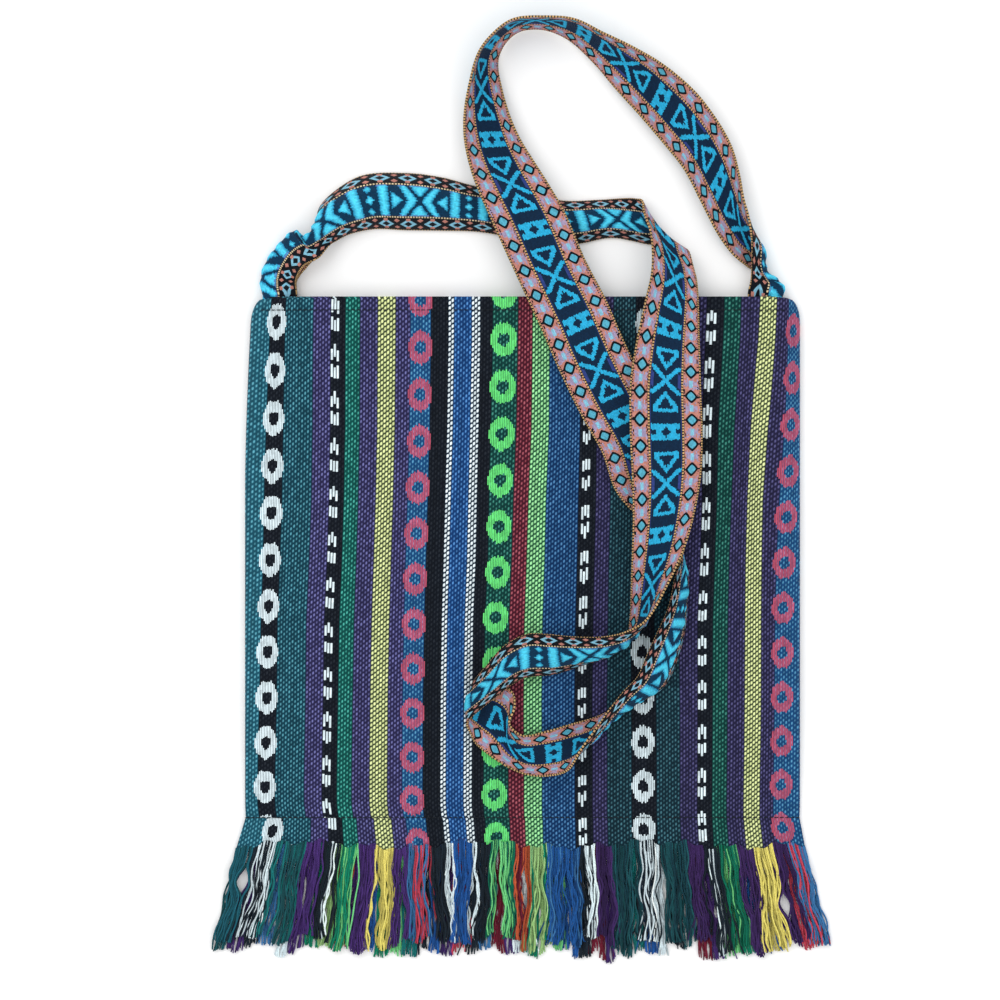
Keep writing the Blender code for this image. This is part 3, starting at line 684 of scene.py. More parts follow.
# Edge one, edge two (x, y, z in millimetres) and how far the section may curl. The places are those of
# the solid strap, except at the left end, and its top fold curls a little less.
ROUTE = [
    ((-135.0, 147, 3.9), (-135.0, 147, 5.7), 3.7),
    ((-135.0, 168, 3.8), (-135.0, 168, 5.5), 3.7),
    ((-135.0, 176, 2.8), (-135.3, 176, 7.4), 3.4),
    ((-128.0, 185.2, 2.8), (-130.5, 184.2, 12.6), 3.05),
    ((-121.2, 193.0, 2.4), (-121.7, 189.0, 12.8), 2.85),
    ((-118.8, 203.6, 1.6), (-115.8, 196.2, 10.8), 2.72),
    ((-122.5, 216.5, 1.4), (-110.5, 200.5, 6.6), 2.6),
    ((-114.5, 227.5, 1.2), (-102.5, 204.5, 3.4), 2.5),
    ((-96.0, 238.5, 1.2), (-88.0, 207.4, 1.2), 2.4),
    ((-71.0, 240.0, 1.2), (-70.0, 206.7, 1.2), 2.2),
    ((-49.5, 237.6, 1.2), (-49.5, 206.4, 1.2), 2.0),
    ((-26.0, 231.8, 1.2), (-25.0, 205.5, 1.2), 1.9),
    ((0.0, 230.0, 1.2), (6.0, 200.0, 1.2), 1.8),
    ((23.0, 223.6, 1.2), (32.0, 198.4, 1.2), 1.9),
    ((46.5, 224.0, 1.2), (54.0, 202.0, 1.2), 1.8),
    ((60.0, 225.0, 2.6), (76.0, 198.0, 1.4), 1.2),
    ((68.0, 225.0, 5.0), (91.0, 196.0, 3.2), 0.8),
    ((71.5, 223.5, 9.0), (98.5, 194.0, 8.0), 0.6),
    ((72.5, 216.0, 14.5), (101.5, 186.0, 13.5), 0.6),
    ((76.5, 203.0, 17.5), (104.0, 175.5, 16.5), 0.7),
    ((77.0, 182.0, 19.5), (105.0, 161.0, 18.0), 0.7),
    ((72.5, 160.8, 20.5), (105.3, 145.4, 18.5), 0.6),
    ((67.5, 137.4, 20.8), (105.8, 129.4, 19.0), 0.5),
    ((64.0, 113.4, 20.8), (106.4, 108.4, 19.2), 0.4),
    ((63.9, 86.4, 21.2), (107.2, 86.6, 19.8), 0.4),
    ((65.1, 59.4, 23.0), (106.5, 62.4, 22.2), 0.5),
    ((65.7, 35.4, 24.5), (103.0, 40.4, 24.5), 0.6),
    ((65.1, 11.4, 24.5), (96.3, 16.4, 27.0), 0.9),
    ((64.5, -9.6, 20.5), (85.0, -7.8, 29.5), 1.3),
    ((64.0, -26.0, 15.5), (73.5, -26.6, 31.5), 1.5),
    ((62.5, -37.5, 13.4), (62.0, -33.5, 31.5), 1.6),
    ((53.0, -47.5, 13.2), (49.0, -36.6, 28.5), 1.7),
    ((37.5, -53.5, 13.2), (32.0, -37.0, 24.5), 1.8),
    ((18.0, -59.4, 14.2), (14.7, -35.7, 21.5), 1.8),
    ((2.5, -61.0, 17.5), (2.0, -35.9, 21.0), 1.8),
    ((-6.0, -65.0, 20.0), (-11.0, -42.8, 21.0), 1.7),
    ((-14.5, -71.5, 21.5), (-21.5, -54.6, 21.5), 1.5),
    ((-25.5, -80.5, 22.0), (-27.5, -61.5, 22.0), 1.0),
    ((-33.0, -88.8, 18.6), (-30.0, -66.8, 19.0), 0.6),
    ((-31.0, -95.0, 15.8), (-24.5, -66.4, 16.0), 0.6),
    ((-28.5, -100.6, 16.0), (-14.5, -65.4, 16.4), 0.7),
    ((-23.8, -105.0, 16.2), (-6.0, -70.2, 16.6), 0.7),
    ((-16.5, -110.4, 16.0), (-4.8, -79.2, 17.0), 0.9),
    ((-7.5, -115.8, 15.2), (-8.0, -88.8, 17.2), 1.1),
    ((2.7, -119.7, 15.4), (0.0, -96.0, 17.2), 1.2),
    ((15.3, -120.4, 16.4), (13.5, -93.8, 16.6), 1.1),
    ((27.0, -116.5, 20.0), (29.0, -89.3, 15.0), 1.2),
    ((34.5, -104.0, 26.5), (42.0, -85.6, 13.6), 1.5),
    ((43.0, -92.0, 29.0), (50.0, -82.4, 13.2), 1.6),
    ((50.4, -81.4, 28.5), (59.5, -78.0, 13.2), 1.7),
    ((59.5, -69.8, 25.5), (71.5, -74.6, 13.2), 1.8),
    ((68.5, -60.4, 23.5), (84.0, -67.0, 13.2), 1.9),
    ((75.0, -45.6, 22.5), (92.0, -51.0, 13.2), 1.9),
    ((81.3, -32.0, 22.5), (96.5, -33.6, 13.2), 1.9),
    ((87.0, -18.4, 22.5), (98.0, -15.6, 13.2), 1.8),
    ((90.5, -2.0, 22.0), (97.5, 2.0, 13.4), 1.8),
    ((96.0, 15.5, 20.6), (88.0, 17.5, 15.2), 1.3),
    ((98.0, 33.0, 18.2), (72.5, 31.0, 17.2), 0.9),
    ((95.5, 55.0, 16.6), (56.0, 49.0, 16.8), 0.5),
    ((87.3, 87.0, 15.8), (47.5, 72.5, 16.0), 0.4),
    ((74.1, 112.4, 15.8), (34.8, 95.2, 15.8), 0.4),
    ((61.0, 138.5, 15.8), (22.0, 121.5, 15.8), 0.4),
    ((50.1, 163.4, 15.9), (11.1, 146.6, 15.9), 0.4),
    ((37.0, 188.6, 16.4), (-3.3, 177.6, 16.4), 0.5),
    ((25.0, 216.5, 17.0), (-17.2, 208.2, 17.0), 0.5),
    ((15.0, 233.8, 15.6), (-25.8, 227.8, 15.6), 0.7),
    ((7.2, 246.0, 13.4), (-31.0, 242.4, 13.4), 1.2),
    ((-1.8, 260.6, 11.0), (-34.6, 259.6, 11.0), 1.7),
    ((-8.3, 275.6, 10.0), (-34.8, 275.2, 11.5), 1.9),
    ((-13.0, 294.0, 7.0), (-31.6, 293.4, 17.5), 1.8),
    ((-14.5, 308.5, 3.0), (-26.5, 310.4, 23.0), 1.2),
    ((-9.5, 319.5, 1.4), (-17.6, 322.0, 27.0), 0.7),
    ((-0.5, 326.0, 1.2), (-5.6, 330.2, 29.0), 0.5),
    ((13.8, 326.4, 1.4), (12.0, 331.8, 29.0), 0.5),
    ((28.0, 320.0, 3.0), (30.4, 330.4, 28.0), 0.8),
    ((41.4, 307.4, 5.0), (47.6, 322.6, 25.0), 1.1),
    ((54.0, 292.4, 6.5), (65.8, 314.4, 20.0), 1.4),
    ((70.0, 274.8, 8.5), (84.2, 304.0, 15.5), 1.7),
    ((84.6, 257.6, 9.0), (102.4, 289.0, 12.5), 1.5),
    ((97.0, 241.8, 9.2), (115.4, 272.6, 11.5), 1.4),
    ((106.6, 223.4, 9.2), (124.6, 256.4, 11.0), 1.3),
    ((116.4, 204.4, 8.8), (129.4, 239.4, 11.5), 1.2),
    ((125.6, 191.8, 6.8), (132.0, 224.6, 12.5), 1.4),
    ((134.5, 184.5, 3.4), (135.4, 211.4, 13.0), 1.8),
    ((138.0, 181.5, 1.6), (136.8, 197.4, 12.0), 2.3),
    ((136.6, 175.5, 2.8), (136.6, 178.0, 8.0), 3.0),
    ((135.0, 168.0, 3.8), (135.0, 168.0, 5.5), 3.7),
    ((135.0, 147.0, 3.9), (135.0, 147.0, 5.7), 3.7),
]


def route_curve(samples):
    """Edge one, edge two and the curl at even steps along the strap, on one smooth curve."""
    stations = []
    for first, second, curl in ROUTE:
        one, two = np.array(first) / 1000, np.array(second) / 1000
        stations.append([*((one + two) / 2), *((one - two) / 2), curl])
    stations = np.array(stations)
    steps = np.linalg.norm(np.diff(stations[:, :3], axis=0), axis=1)
    turns = np.linalg.norm(np.diff(stations[:, 3:6], axis=0), axis=1)
    knots = np.concatenate([[0.0], np.cumsum(np.sqrt(steps * steps + 0.3 * turns * turns))])
    slopes = np.zeros_like(stations)
    slopes[1:-1] = (stations[2:] - stations[:-2]) / (knots[2:] - knots[:-2])[:, None]
    slopes[0] = (stations[1] - stations[0]) / (knots[1] - knots[0])
    slopes[-1] = (stations[-1] - stations[-2]) / (knots[-1] - knots[-2])
    found = []
    for value in np.linspace(0.0, knots[-1], samples):
        index = min(int(np.searchsorted(knots, value, side="right")) - 1, len(knots) - 2)
        span = knots[index + 1] - knots[index]
        part = (value - knots[index]) / span
        squared, cubed = part * part, part**3
        found.append(
            (2 * cubed - 3 * squared + 1) * stations[index]
            + (cubed - 2 * squared + part) * span * slopes[index]
            + (3 * squared - 2 * cubed) * stations[index + 1]
            + (cubed - squared) * span * slopes[index + 1]
        )
    return np.array(found)


def curled_section(chord, curl, count):
    """Points across the ribbon: its length is kept while the curl needed stays under its limit."""
    shares = np.linspace(-0.5, 0.5, CURVE_POINTS)
    crease = 0.6 - 0.55 * smooth_step((curl - 2.0) / 1.0)
    heading = np.tanh(shares / crease) / np.tanh(0.5 / crease)
    low, high = 0.0, curl
    for _ in range(24):
        turn = (low + high) / 2
        if np.cos(turn / 2 * heading).mean() * STRAP_WIDTH > chord:
            low = turn
        else:
            high = turn
    angles = turn / 2 * heading
    middle = (angles[1:] + angles[:-1]) / 2
    across = np.concatenate([[0.0], np.cumsum(np.cos(middle))])
    out = np.concatenate([[0.0], np.cumsum(-np.sin(middle))])
    scale = chord / across[-1] if across[-1] > 1e-6 else 1.0
    scale = min(scale, STRAP_WIDTH / (CURVE_POINTS - 1))
    picks = np.linspace(0, CURVE_POINTS - 1, count)
    place = np.interp(picks, np.arange(CURVE_POINTS), (across - across[-1] / 2) * scale)
    rise = np.interp(picks, np.arange(CURVE_POINTS), out * scale)
    return place, rise


def strap_places(samples, count):
    """Middle points of the ribbon, a row for each step along it, from edge one to edge two."""
    curve = route_curve(samples)
    travel = np.gradient(curve[:, :3], axis=0)
    rows = []
    for station, along in zip(curve, travel):
        half = station[3:6]
        side = half / np.linalg.norm(half)
        along = along - side * np.dot(along, side)
        along = along / np.linalg.norm(along)
        out = np.cross(along, side)
        chord = min(2 * np.linalg.norm(half), 0.995 * STRAP_WIDTH)
        place, rise = curled_section(chord, station[6], count)
        row = station[:3] + side * place[::-1, None] + out * rise[::-1, None]
        rows.append(row)
    return np.array(rows)


strap_rows = strap_places(STRAP_STEPS, STRAP_COLUMNS)
middle_line = strap_rows[:, MIDDLE_COLUMN]
strides = np.linalg.norm(np.diff(middle_line, axis=0), axis=1)
strap_along = np.concatenate([[0.0], np.cumsum(strides)])
print("strap length", round(float(strap_along[-1]), 3), "m")

# %% [markdown]
# The ribbon's pattern repeats every 61.6 mm: a block, a bar, a stepped triangle, a cross, and back.
# Each face has masks of the place in the repeat. Those of the reverse serve for its colours and for
# its soft relief, where the blue yarn floats in long loose puffs.

# %% Ribbon pattern
REPEAT = 61.6
# Share of the half width that the centre band takes, and how high the puffs stand on the reverse
BAND_EDGE = 0.44
PUFF_HEIGHT = 0.0010


def motif(maths, q, a):
    """Where the blue yarn shows on the face: q is 0 at a block and 1 at a cross, a is 1 at an edge."""
    diamond = maths.less(maths.add(maths.times(a, 1 / 0.13), maths.times(q, 1 / 0.11)), 1.0)
    notch = maths.both(maths.more(a, 0.27), maths.less(q, 0.05))
    block = maths.both(maths.less(q, 0.17), maths.less(a, 0.40))
    block = maths.both(block, maths.opposite(maths.either(diamond, notch)))
    taper = maths.times(maths.sum("MAXIMUM", maths.minus(q, 0.52), 0.0), 1.18)
    shield = maths.both(maths.within(q, 0.385, 0.80), maths.less(maths.add(a, taper), 0.33))
    step = maths.times(maths.sum("FLOOR", maths.times(maths.minus(q, 0.46), 18.0)), 1 / 18.0)
    heart = maths.both(maths.within(q, 0.46, 0.70), maths.less(maths.add(a, step), 0.19))
    shield = maths.both(shield, maths.opposite(heart))
    left = maths.minus(1.0, q)
    arm = maths.both(maths.near(maths.minus(a, maths.times(left, 1.5)), 0.0, 0.085), maths.less(left, 0.27))
    return maths.either(block, shield, arm)


def reverse_floats(maths, q, s):
    """How high the blue yarn floats on the reverse: s is 1 at the centre band's edge."""
    rim = maths.add(q, maths.times(s, 0.25))
    off = maths.size_of(maths.minus(s, 0.70))
    shapes = (
        (maths.minus(q, 0.180), maths.minus(0.385, q)),
        (maths.minus(q, 0.430), maths.minus(0.665, maths.add(q, maths.times(s, 0.42)))),
        (maths.minus(maths.add(q, maths.times(s, 0.18)), 0.745), maths.minus(0.965, rim)),
        (maths.minus(rim, 1.035), maths.minus(s, 0.25)),
        (maths.minus(0.100, maths.add(q, maths.times(s, 0.29))),),
        (maths.minus(0.090, maths.add(q, maths.times(off, 0.36))),),
    )
    height = None
    for reaches in shapes:
        least = reaches[0]
        for reach in reaches[1:]:
            least = maths.sum("MINIMUM", least, reach)
        height = least if height is None else maths.sum("MAXIMUM", height, least)
    return maths.times(maths.sum("MINIMUM", maths.sum("MAXIMUM", height, 0.0), 0.065), 1 / 0.065)


def repeat_share(maths, along, repeat):
    """0 at the middle of a block and 1 at the middle of a cross."""
    turn = maths.times(along, 1 / repeat)
    off = maths.minus(turn, maths.sum("FLOOR", maths.add(turn, 0.5)))
    return maths.times(maths.size_of(off), 2.0)


RIBBON = {
    "sky": (0.022, 0.400, 0.680),
    # Shaded and lit blue of the reverse's puffs: painted shade and painted highlight.
    "puff_shaded_blue": (0.008, 0.220, 0.460),
    "puff_lit_blue": (0.085, 0.700, 0.960),
    "navy": (0.002, 0.018, 0.050),
    "ink": (0.001, 0.034, 0.085),
    "violet": (0.028, 0.050, 0.210),
    "lilac": (0.110, 0.180, 0.520),
    "coral": (0.520, 0.215, 0.170),
    "mauve": (0.360, 0.290, 0.440),
    "ice": (0.230, 0.520, 0.680),
    "aqua": (0.090, 0.400, 0.540),
    "black": (0.002, 0.004, 0.008),
    "gold": (0.640, 0.400, 0.170),
    "rust": (0.240, 0.110, 0.050),
    "cream": (0.800, 0.640, 0.400),
}


def ribbon_material(name, reverse):
    """One face of the jacquard ribbon: its centre band, two side bands and its beaded lines."""
    material = bpy.data.materials.new(name)
    maths = NodeMaths(material)
    across, along = maths.map_sockets()
    pitch = 0.80
    thread = maths.sum("FLOOR", maths.times(across, 1 / pitch))
    in_thread = maths.sum("FRACT", maths.times(across, 1 / pitch))
    middle = maths.times(maths.add(thread, 0.5), pitch)
    to_edge = 2 / (STRAP_WIDTH * 1000)
    a = maths.size_of(maths.minus(maths.times(middle, to_edge), 1.0))
    smooth_a = maths.size_of(maths.minus(maths.times(across, to_edge), 1.0))
    jitter = maths.add(along, maths.times(maths.chance(thread, 2.0, 0.0), 0.9))
    level = maths.times(maths.add(maths.sum("FLOOR", maths.times(jitter, 1 / 0.7)), 0.5), 0.7)
    q = repeat_share(maths, level, REPEAT)
    stroke = maths.sum("SINE", maths.times(in_thread, math.pi))

    if reverse:
        s = maths.times(a, 1 / BAND_EDGE)
        floats = reverse_floats(maths, q, s)
        shown = maths.more(floats, 0.02)
        edge = maths.both(maths.more(s, 0.86), maths.less(maths.chance(thread, level, 4.0), 0.75))
        # Painted highlight and shade: the floats' blue is lighter on top of each puff and darker at its foot.
        tint = maths.blend(floats, RIBBON["puff_shaded_blue"], RIBBON["puff_lit_blue"])
        tint = maths.blend(maths.times(edge, 0.8), tint, RIBBON["lilac"])
        centre = maths.blend(shown, RIBBON["ink"], tint)
    else:
        shown = motif(maths, q, a)
        corner = maths.both(maths.more(q, 0.86), maths.more(a, 0.33))
        centre = maths.blend(maths.either(corner, maths.more(a, 0.425)), RIBBON["navy"], RIBBON["violet"])
        centre = maths.blend(shown, centre, RIBBON["sky"])

    cell = maths.sum("FRACT", maths.times(along, 4 / REPEAT))
    from_diamond = maths.size_of(maths.minus(cell, 0.5))
    off_band = maths.size_of(maths.minus(smooth_a, 0.72))
    rhomb = maths.add(
        maths.sum("POWER", maths.times(from_diamond, 1 / 0.285), 1.25),
        maths.sum("POWER", maths.times(off_band, 1 / 0.185), 1.25),
    )
    outline = maths.less(rhomb, 1.0)
    stone = maths.less(rhomb, 0.56)
    if reverse:
        ring = maths.add(maths.times(from_diamond, 1 / 0.36), maths.times(off_band, 1 / 0.185))
        eye = maths.less(ring, 0.50)
        dots = maths.both(maths.near(off_band, 0.150, 0.045), maths.less(from_diamond, 0.09))
        far = maths.add(
            maths.times(maths.minus(0.5, from_diamond), 1 / 0.13),
            maths.times(maths.size_of(maths.minus(off_band, 0.13)), 1 / 0.07),
        )
        band = maths.blend(maths.less(ring, 1.0), RIBBON["black"], RIBBON["ice"])
        band = maths.blend(eye, band, RIBBON["black"])
        band = maths.blend(maths.either(dots, maths.less(far, 1.0)), band, RIBBON["coral"])
    else:
        mixed = maths.chance(thread, maths.sum("FLOOR", maths.times(along, 1 / 1.6)), 3.0)
        apart = maths.add(from_diamond, maths.times(maths.minus(mixed, 0.5), 0.26))
        band = maths.blend(maths.more(apart, 0.34), RIBBON["coral"], RIBBON["mauve"])
        border = maths.both(maths.more(off_band, 0.165), maths.less(mixed, 0.70))
        band = maths.blend(border, band, RIBBON["coral"])
        tick = maths.both(maths.more(off_band, 0.17), maths.less(maths.chance(thread, level, 1.0), 0.22))
        band = maths.blend(tick, band, RIBBON["black"])
        link = maths.both(maths.less(off_band, 0.050), maths.more(from_diamond, 0.36))
        band = maths.blend(link, band, RIBBON["ice"])
        joint = maths.both(maths.less(from_diamond, 0.035), maths.less(off_band, 0.24))
        band = maths.blend(maths.either(outline, joint), band, RIBBON["black"])
        band = maths.blend(stone, band, RIBBON["aqua"])

    bead_step = maths.sum("FRACT", maths.times(along, 1 / 1.75))
    bead = maths.both(maths.near(bead_step, 0.5, 0.30), maths.near(smooth_a, 0.472, 0.026))
    selvedge = maths.both(maths.near(bead_step, 0.5, 0.30), maths.more(smooth_a, 0.965))
    colour = maths.blend(maths.more(smooth_a, BAND_EDGE), centre, band)
    colour = maths.blend(maths.within(smooth_a, 0.435, 0.505), colour, RIBBON["black"])
    colour = maths.blend(maths.more(smooth_a, 0.955), colour, RIBBON["black"])
    beads = maths.either(bead, selvedge)
    colour = maths.blend(bead, colour, RIBBON["cream" if reverse else "gold"])
    colour = maths.blend(selvedge, colour, RIBBON["gold"])

    fibre = maths.chance(thread, maths.sum("FLOOR", maths.times(along, 1 / 1.1)), 9.0)
    tone = maths.add(0.74, maths.times(fibre, 0.34))
    # Painted shade: each thread is lighter along its middle than at its edges.
    tone = maths.add(tone, maths.times(stroke, 0.14))
    colour = maths.shaded(colour, tone)
    weave = maths.sum("SINE", maths.times(along, 2 * math.pi / 1.1))
    height = maths.add(maths.times(shown, 0.7), maths.add(maths.times(stroke, 0.5), maths.times(weave, 0.12)))
    height = maths.add(height, maths.times(beads, 0.5))
    maths.finish(colour, height, 0.0006 if reverse else 0.0004, roughness=0.7)
    return material


ribbon_face = ribbon_material("ribbon_face", reverse=False)
ribbon_reverse = ribbon_material("ribbon_reverse", reverse=True)

# %% [markdown]
# The pattern is set so that a block falls where the photo shows one at three places along the strap:
# the repeats between two of them are stretched a little. The floats of the reverse are raised as puffs.

# %% The shoulder strap


def along_at(x, y, first, last):
    """How far along the strap its middle passes this place, looking only between two of its steps."""
    gap = np.linalg.norm(middle_line[first:last, :2] - np.array((x, y)), axis=1)
    return strap_along[first + int(np.argmin(gap))]


half_way = STRAP_STEPS // 2
block_zero = along_at(-0.0915, 0.2274, 0, half_way)
block_one = along_at(0.0843, 0.1470, 0, half_way)
block_two = along_at(0.0327, 0.1500, half_way - 100, STRAP_STEPS)
whole = REPEAT / 1000
before = round((block_one - block_zero) / whole) * whole
after = round((block_two - block_one) / whole) * whole
stretch = (before / (block_one - block_zero), after / (block_two - block_one))
print("stretch of the pattern", [round(share, 3) for share in stretch])
pattern_along = np.interp(
    strap_along,
    [0.0, block_zero, block_one, block_two, strap_along[-1]],
    [-before - block_zero, -before, 0.0, after, after + strap_along[-1] - block_two],
)
strap_maps = np.empty((STRAP_STEPS, STRAP_COLUMNS, 2))
strap_maps[..., 0] = np.linspace(0.0, STRAP_WIDTH, STRAP_COLUMNS)
strap_maps[..., 1] = pattern_along[:, None]
numbers = GridMaths()
q = repeat_share(numbers, strap_maps[..., 1] * 1000, REPEAT)
a = np.abs(strap_maps[..., 0] * 2 / STRAP_WIDTH - 1)
# The two ends inside the mouth stay flat: puffs start above the mouth, or nearer to the bag's middle
outside = np.clip((middle_line[:, 1] - 0.168) / 0.006, 0.0, 1.0)[:, None]
on_bag = (np.abs(middle_line[:, 0]) < 0.120)[:, None]
puffs = reverse_floats(numbers, q, a / BAND_EDGE) ** 0.7 * np.clip((0.46 - a) / 0.06, 0.0, 1.0) ** 0.5
puffs = PUFF_HEIGHT * puffs * np.maximum(outside, on_bag)
strap = grid_piece(
    "shoulder_ribbon", strap_rows, strap_maps, STRAP_THICK, ribbon_reverse, ribbon_face, puffs
)
print("strap faces", len(strap.data.polygons))

# %% [markdown]
# The fringe is the warp itself, left long below the weave. Its yarns keep the kinks of the weave, cling
# together in locks and spread towards the corners. Each yarn is a line of points with its own colour;
# one node tree then gives all of them their round section, a little thicker or thinner from place to
# place. The back cloth's yarns lie under the front's and show between them.

# %% Fringe yarns
FRINGE_YARN = {
    **YARN,
    "night": (0.010, 0.018, 0.028),
    "edge_lit_teal": (0.012, 0.105, 0.145),
    "teal": (0.012, 0.085, 0.100),
    "deep": (0.008, 0.048, 0.066),
    "purple": (0.060, 0.026, 0.150),
    "plum": (0.045, 0.020, 0.100),
    "fir": (0.003, 0.130, 0.075),
    "sea_blue": (0.012, 0.080, 0.270),
    "green": (0.004, 0.200, 0.110),
    "sea": (0.008, 0.150, 0.150),
    "blue": (0.016, 0.095, 0.340),
    "mist": (0.045, 0.170, 0.380),
    "rose": (0.480, 0.050, 0.085),
    "yellow": (0.700, 0.610, 0.150),
    "lime": (0.150, 0.560, 0.200),
    "leaf": (0.340, 0.580, 0.220),
    "orange": (0.480, 0.090, 0.035),
}
# Second yarns that are mixed into a stripe, and how much of the stripe they take
MIXED_YARN = {
    "green": ("lime", 0.30),
    "fir": ("lime", 0.25),
    "sea_blue": ("mist", 0.20),
    "mist": ("rose", 0.45),
    "leaf": ("green", 0.30),
    "red": ("orange", 0.45),
    "teal": ("sea", 0.25),
    "deep": ("teal", 0.30),
    "edge_lit_teal": ("teal", 0.50),
}
BACK_COLOURS = [
    "teal", "purple", "night", "mist", "white", "purple", "green", "leaf", "orange", "purple", "blue",
    "green", "lime", "sea", "night", "blue", "purple", "rose", "night", "mist", "red", "purple", "white",
    "green", "leaf", "lime", "blue", "night", "red", "purple", "teal", "sea", "blue", "white", "night",
    "teal", "red", "purple", "lime", "green", "blue", "yellow", "purple", "rose", "mist",
]
# See-through places between the locks: middle x and y, half width and half height
HOLES = ((-0.1675, -0.1835, 0.0036, 0.0068), (0.1575, -0.1985, 0.0030, 0.0062))
YARN_RADIUS = 0.00054
YARN_STEPS = 26
yarn_chance = np.random.default_rng(41)


def nearest(across_mm, columns):
    """How far the nearest of these columns of figures lies, in millimetres."""
    return min(abs(across_mm - place) for place in columns)


def front_yarn(across_mm):
    """The yarn at a place of the front's foot, with the rings' and dashes' yarns mixed in."""
    name = yarn_under(across_mm)
    if name == "night":
        ringed = nearest(across_mm, [column[0] for column in RING_COLUMNS if column[-1] == "white"]) < 6.5
        dashed = nearest(across_mm, [column[0] for column in DASH_COLUMNS]) < 3.2
        if yarn_chance.random() < (0.55 if ringed else 0.45 if dashed else 0.0):
            return "white"
    limed = nearest(across_mm, [column[0] for column in RING_COLUMNS if column[-1] == "lime"]) < 7.5
    if limed and yarn_chance.random() < 0.38:
        return "lime"
    second, share = MIXED_YARN.get(name, (name, 0.0))
    return second if yarn_chance.random() < share else name


def lean_at(x):
    """Sideways travel of a yarn's tip: the fringe spreads at its two ends."""
    return 0.019 * np.sign(x) * np.abs(x / (BAG_WIDTH / 2)) ** 2.2


def make_locks(layer):
    """Locks of yarns that cling together: where each ends along the foot, its length and its waves."""
    ends = [-BAG_WIDTH / 2]
    while ends[-1] < BAG_WIDTH / 2:
        ends.append(ends[-1] + yarn_chance.uniform(0.008, 0.017))
    return {
        "end": np.array(ends),
        "sway": yarn_chance.normal(0, 0.0015 if layer else 0.0003, len(ends)),
        "length": yarn_chance.uniform(0.061, 0.070, len(ends)) - 0.005 * layer,
        "phase": yarn_chance.uniform(0, 6.3, len(ends)),
        "waves": yarn_chance.uniform(6, 11, len(ends)),
    }


def yarn_sideways(root, centre, along, layer, lock):
    """Where a yarn lies across the fringe, from its root to its tip."""
    clump = (0.24 if layer else 0.06) * np.sin(np.pi * np.clip(along * 0.78 + 0.02, 0, 1)) ** 1.4
    flare = float(foot_flare(np.array(root * 2 / BAG_WIDTH), np.array(FOOT_Y)))
    x = root + flare + (centre - root) * clump
    x = x + (lean_at(root) - flare * 0.6) * along**1.05 + lock["sway"] * along**1.5
    wave = (0.0011 if layer else 0.0003) * np.sin(along * lock["waves"] + lock["phase"])
    kink = yarn_chance.uniform(0.0003, 0.0010) * np.sin(
        along * yarn_chance.uniform(12, 24) + yarn_chance.uniform(0, 6.3)
    )
    stray = yarn_chance.normal(0, 0.0040 if yarn_chance.random() < 0.10 else 0.0006)
    return x + (wave + kink) * np.clip(along * 3, 0, 1) + stray * along**2


def beside_holes(x, y):
    """The same yarn, pushed aside where it would cross a see-through place."""
    for hole_x, hole_y, wide, tall in HOLES:
        away = float(np.interp(-hole_y, -y, x)) - hole_x
        reach = np.exp(-np.abs((y - hole_y) / tall) ** 3)
        x = x + math.copysign(max(wide - abs(away) * 0.5, 0.0), away) * reach
    return x


def yarn_height(root, along, layer):
    """How high a yarn lies: the front's come down from their cloth onto the back's."""
    z = np.full(YARN_STEPS, 0.0009 + 0.0006 * yarn_chance.random())
    if layer:
        start = FRONT_SEAM + CLOTH / 2 + 0.0003
        z = start + (0.0032 + 0.0014 * yarn_chance.random() - start) * smooth_step(along * 3)
        z = z - 0.0012 * smooth_step(along * 2 - 1)
    z = z + 0.0004 * np.sin(along * 9 + root * 500)
    return np.maximum(z, 0.0009)


def fringe_lines(count, layer):
    """Points, edges, colours and sizes of all the yarns of one fringe: layer 1 is the front's."""
    points, edges, colours, sizes = [], [], [], []
    roots = np.linspace(-BAG_WIDTH / 2 + 0.0008, BAG_WIDTH / 2 - 0.0008, count)
    roots = roots + yarn_chance.normal(0, 0.0004, count)
    locks = make_locks(layer)
    ends = locks["end"]
    along = np.linspace(0, 1, YARN_STEPS)
    for root in roots:
        root = float(np.clip(root, -BAG_WIDTH / 2 + 0.0006, BAG_WIDTH / 2 - 0.0006))
        place = min(int(np.searchsorted(ends, root)), len(ends) - 1)
        lock = {key: values[place] for key, values in locks.items()}
        centre = (ends[place] + ends[place - 1]) / 2 if place else root
        across_mm = (root + BAG_WIDTH / 2 - 0.004) * 1000
        name = front_yarn(np.clip(across_mm, 0, BAG_WIDTH_MM - 0.1))
        if layer == 0:
            slot = int((root + BAG_WIDTH / 2) / BAG_WIDTH * len(BACK_COLOURS))
            name = BACK_COLOURS[min(max(slot, 0), len(BACK_COLOURS) - 1)]
        off_centre = (root - centre) / 0.006
        length = lock["length"] * yarn_chance.uniform(0.985, 1.012) * (1.01 - 0.045 * off_centre**2)
        x = yarn_sideways(root, centre, along, layer, lock)
        y = SEAM_Y - FOOT_SEAM_UP * float(weave_end(root)) + 0.0022 - length * along
        x = beside_holes(x, y)
        z = yarn_height(root, along, layer)
        first = len(points)
        points += np.stack([x, y, z], axis=1).tolist()
        edges += [(first + step, first + step + 1) for step in range(YARN_STEPS - 1)]
        shade = yarn_chance.uniform(0.52, 1.30)
        tone = [min(part * shade, 1.0) for part in FRINGE_YARN[name]]
        colours += [(*tone, 1.0)] * YARN_STEPS
        sizes += (yarn_chance.uniform(0.8, 1.15) * (1 - 0.18 * smooth_step(along * 12 - 11))).tolist()
    return points, edges, colours, sizes


# %% Yarn and thread materials


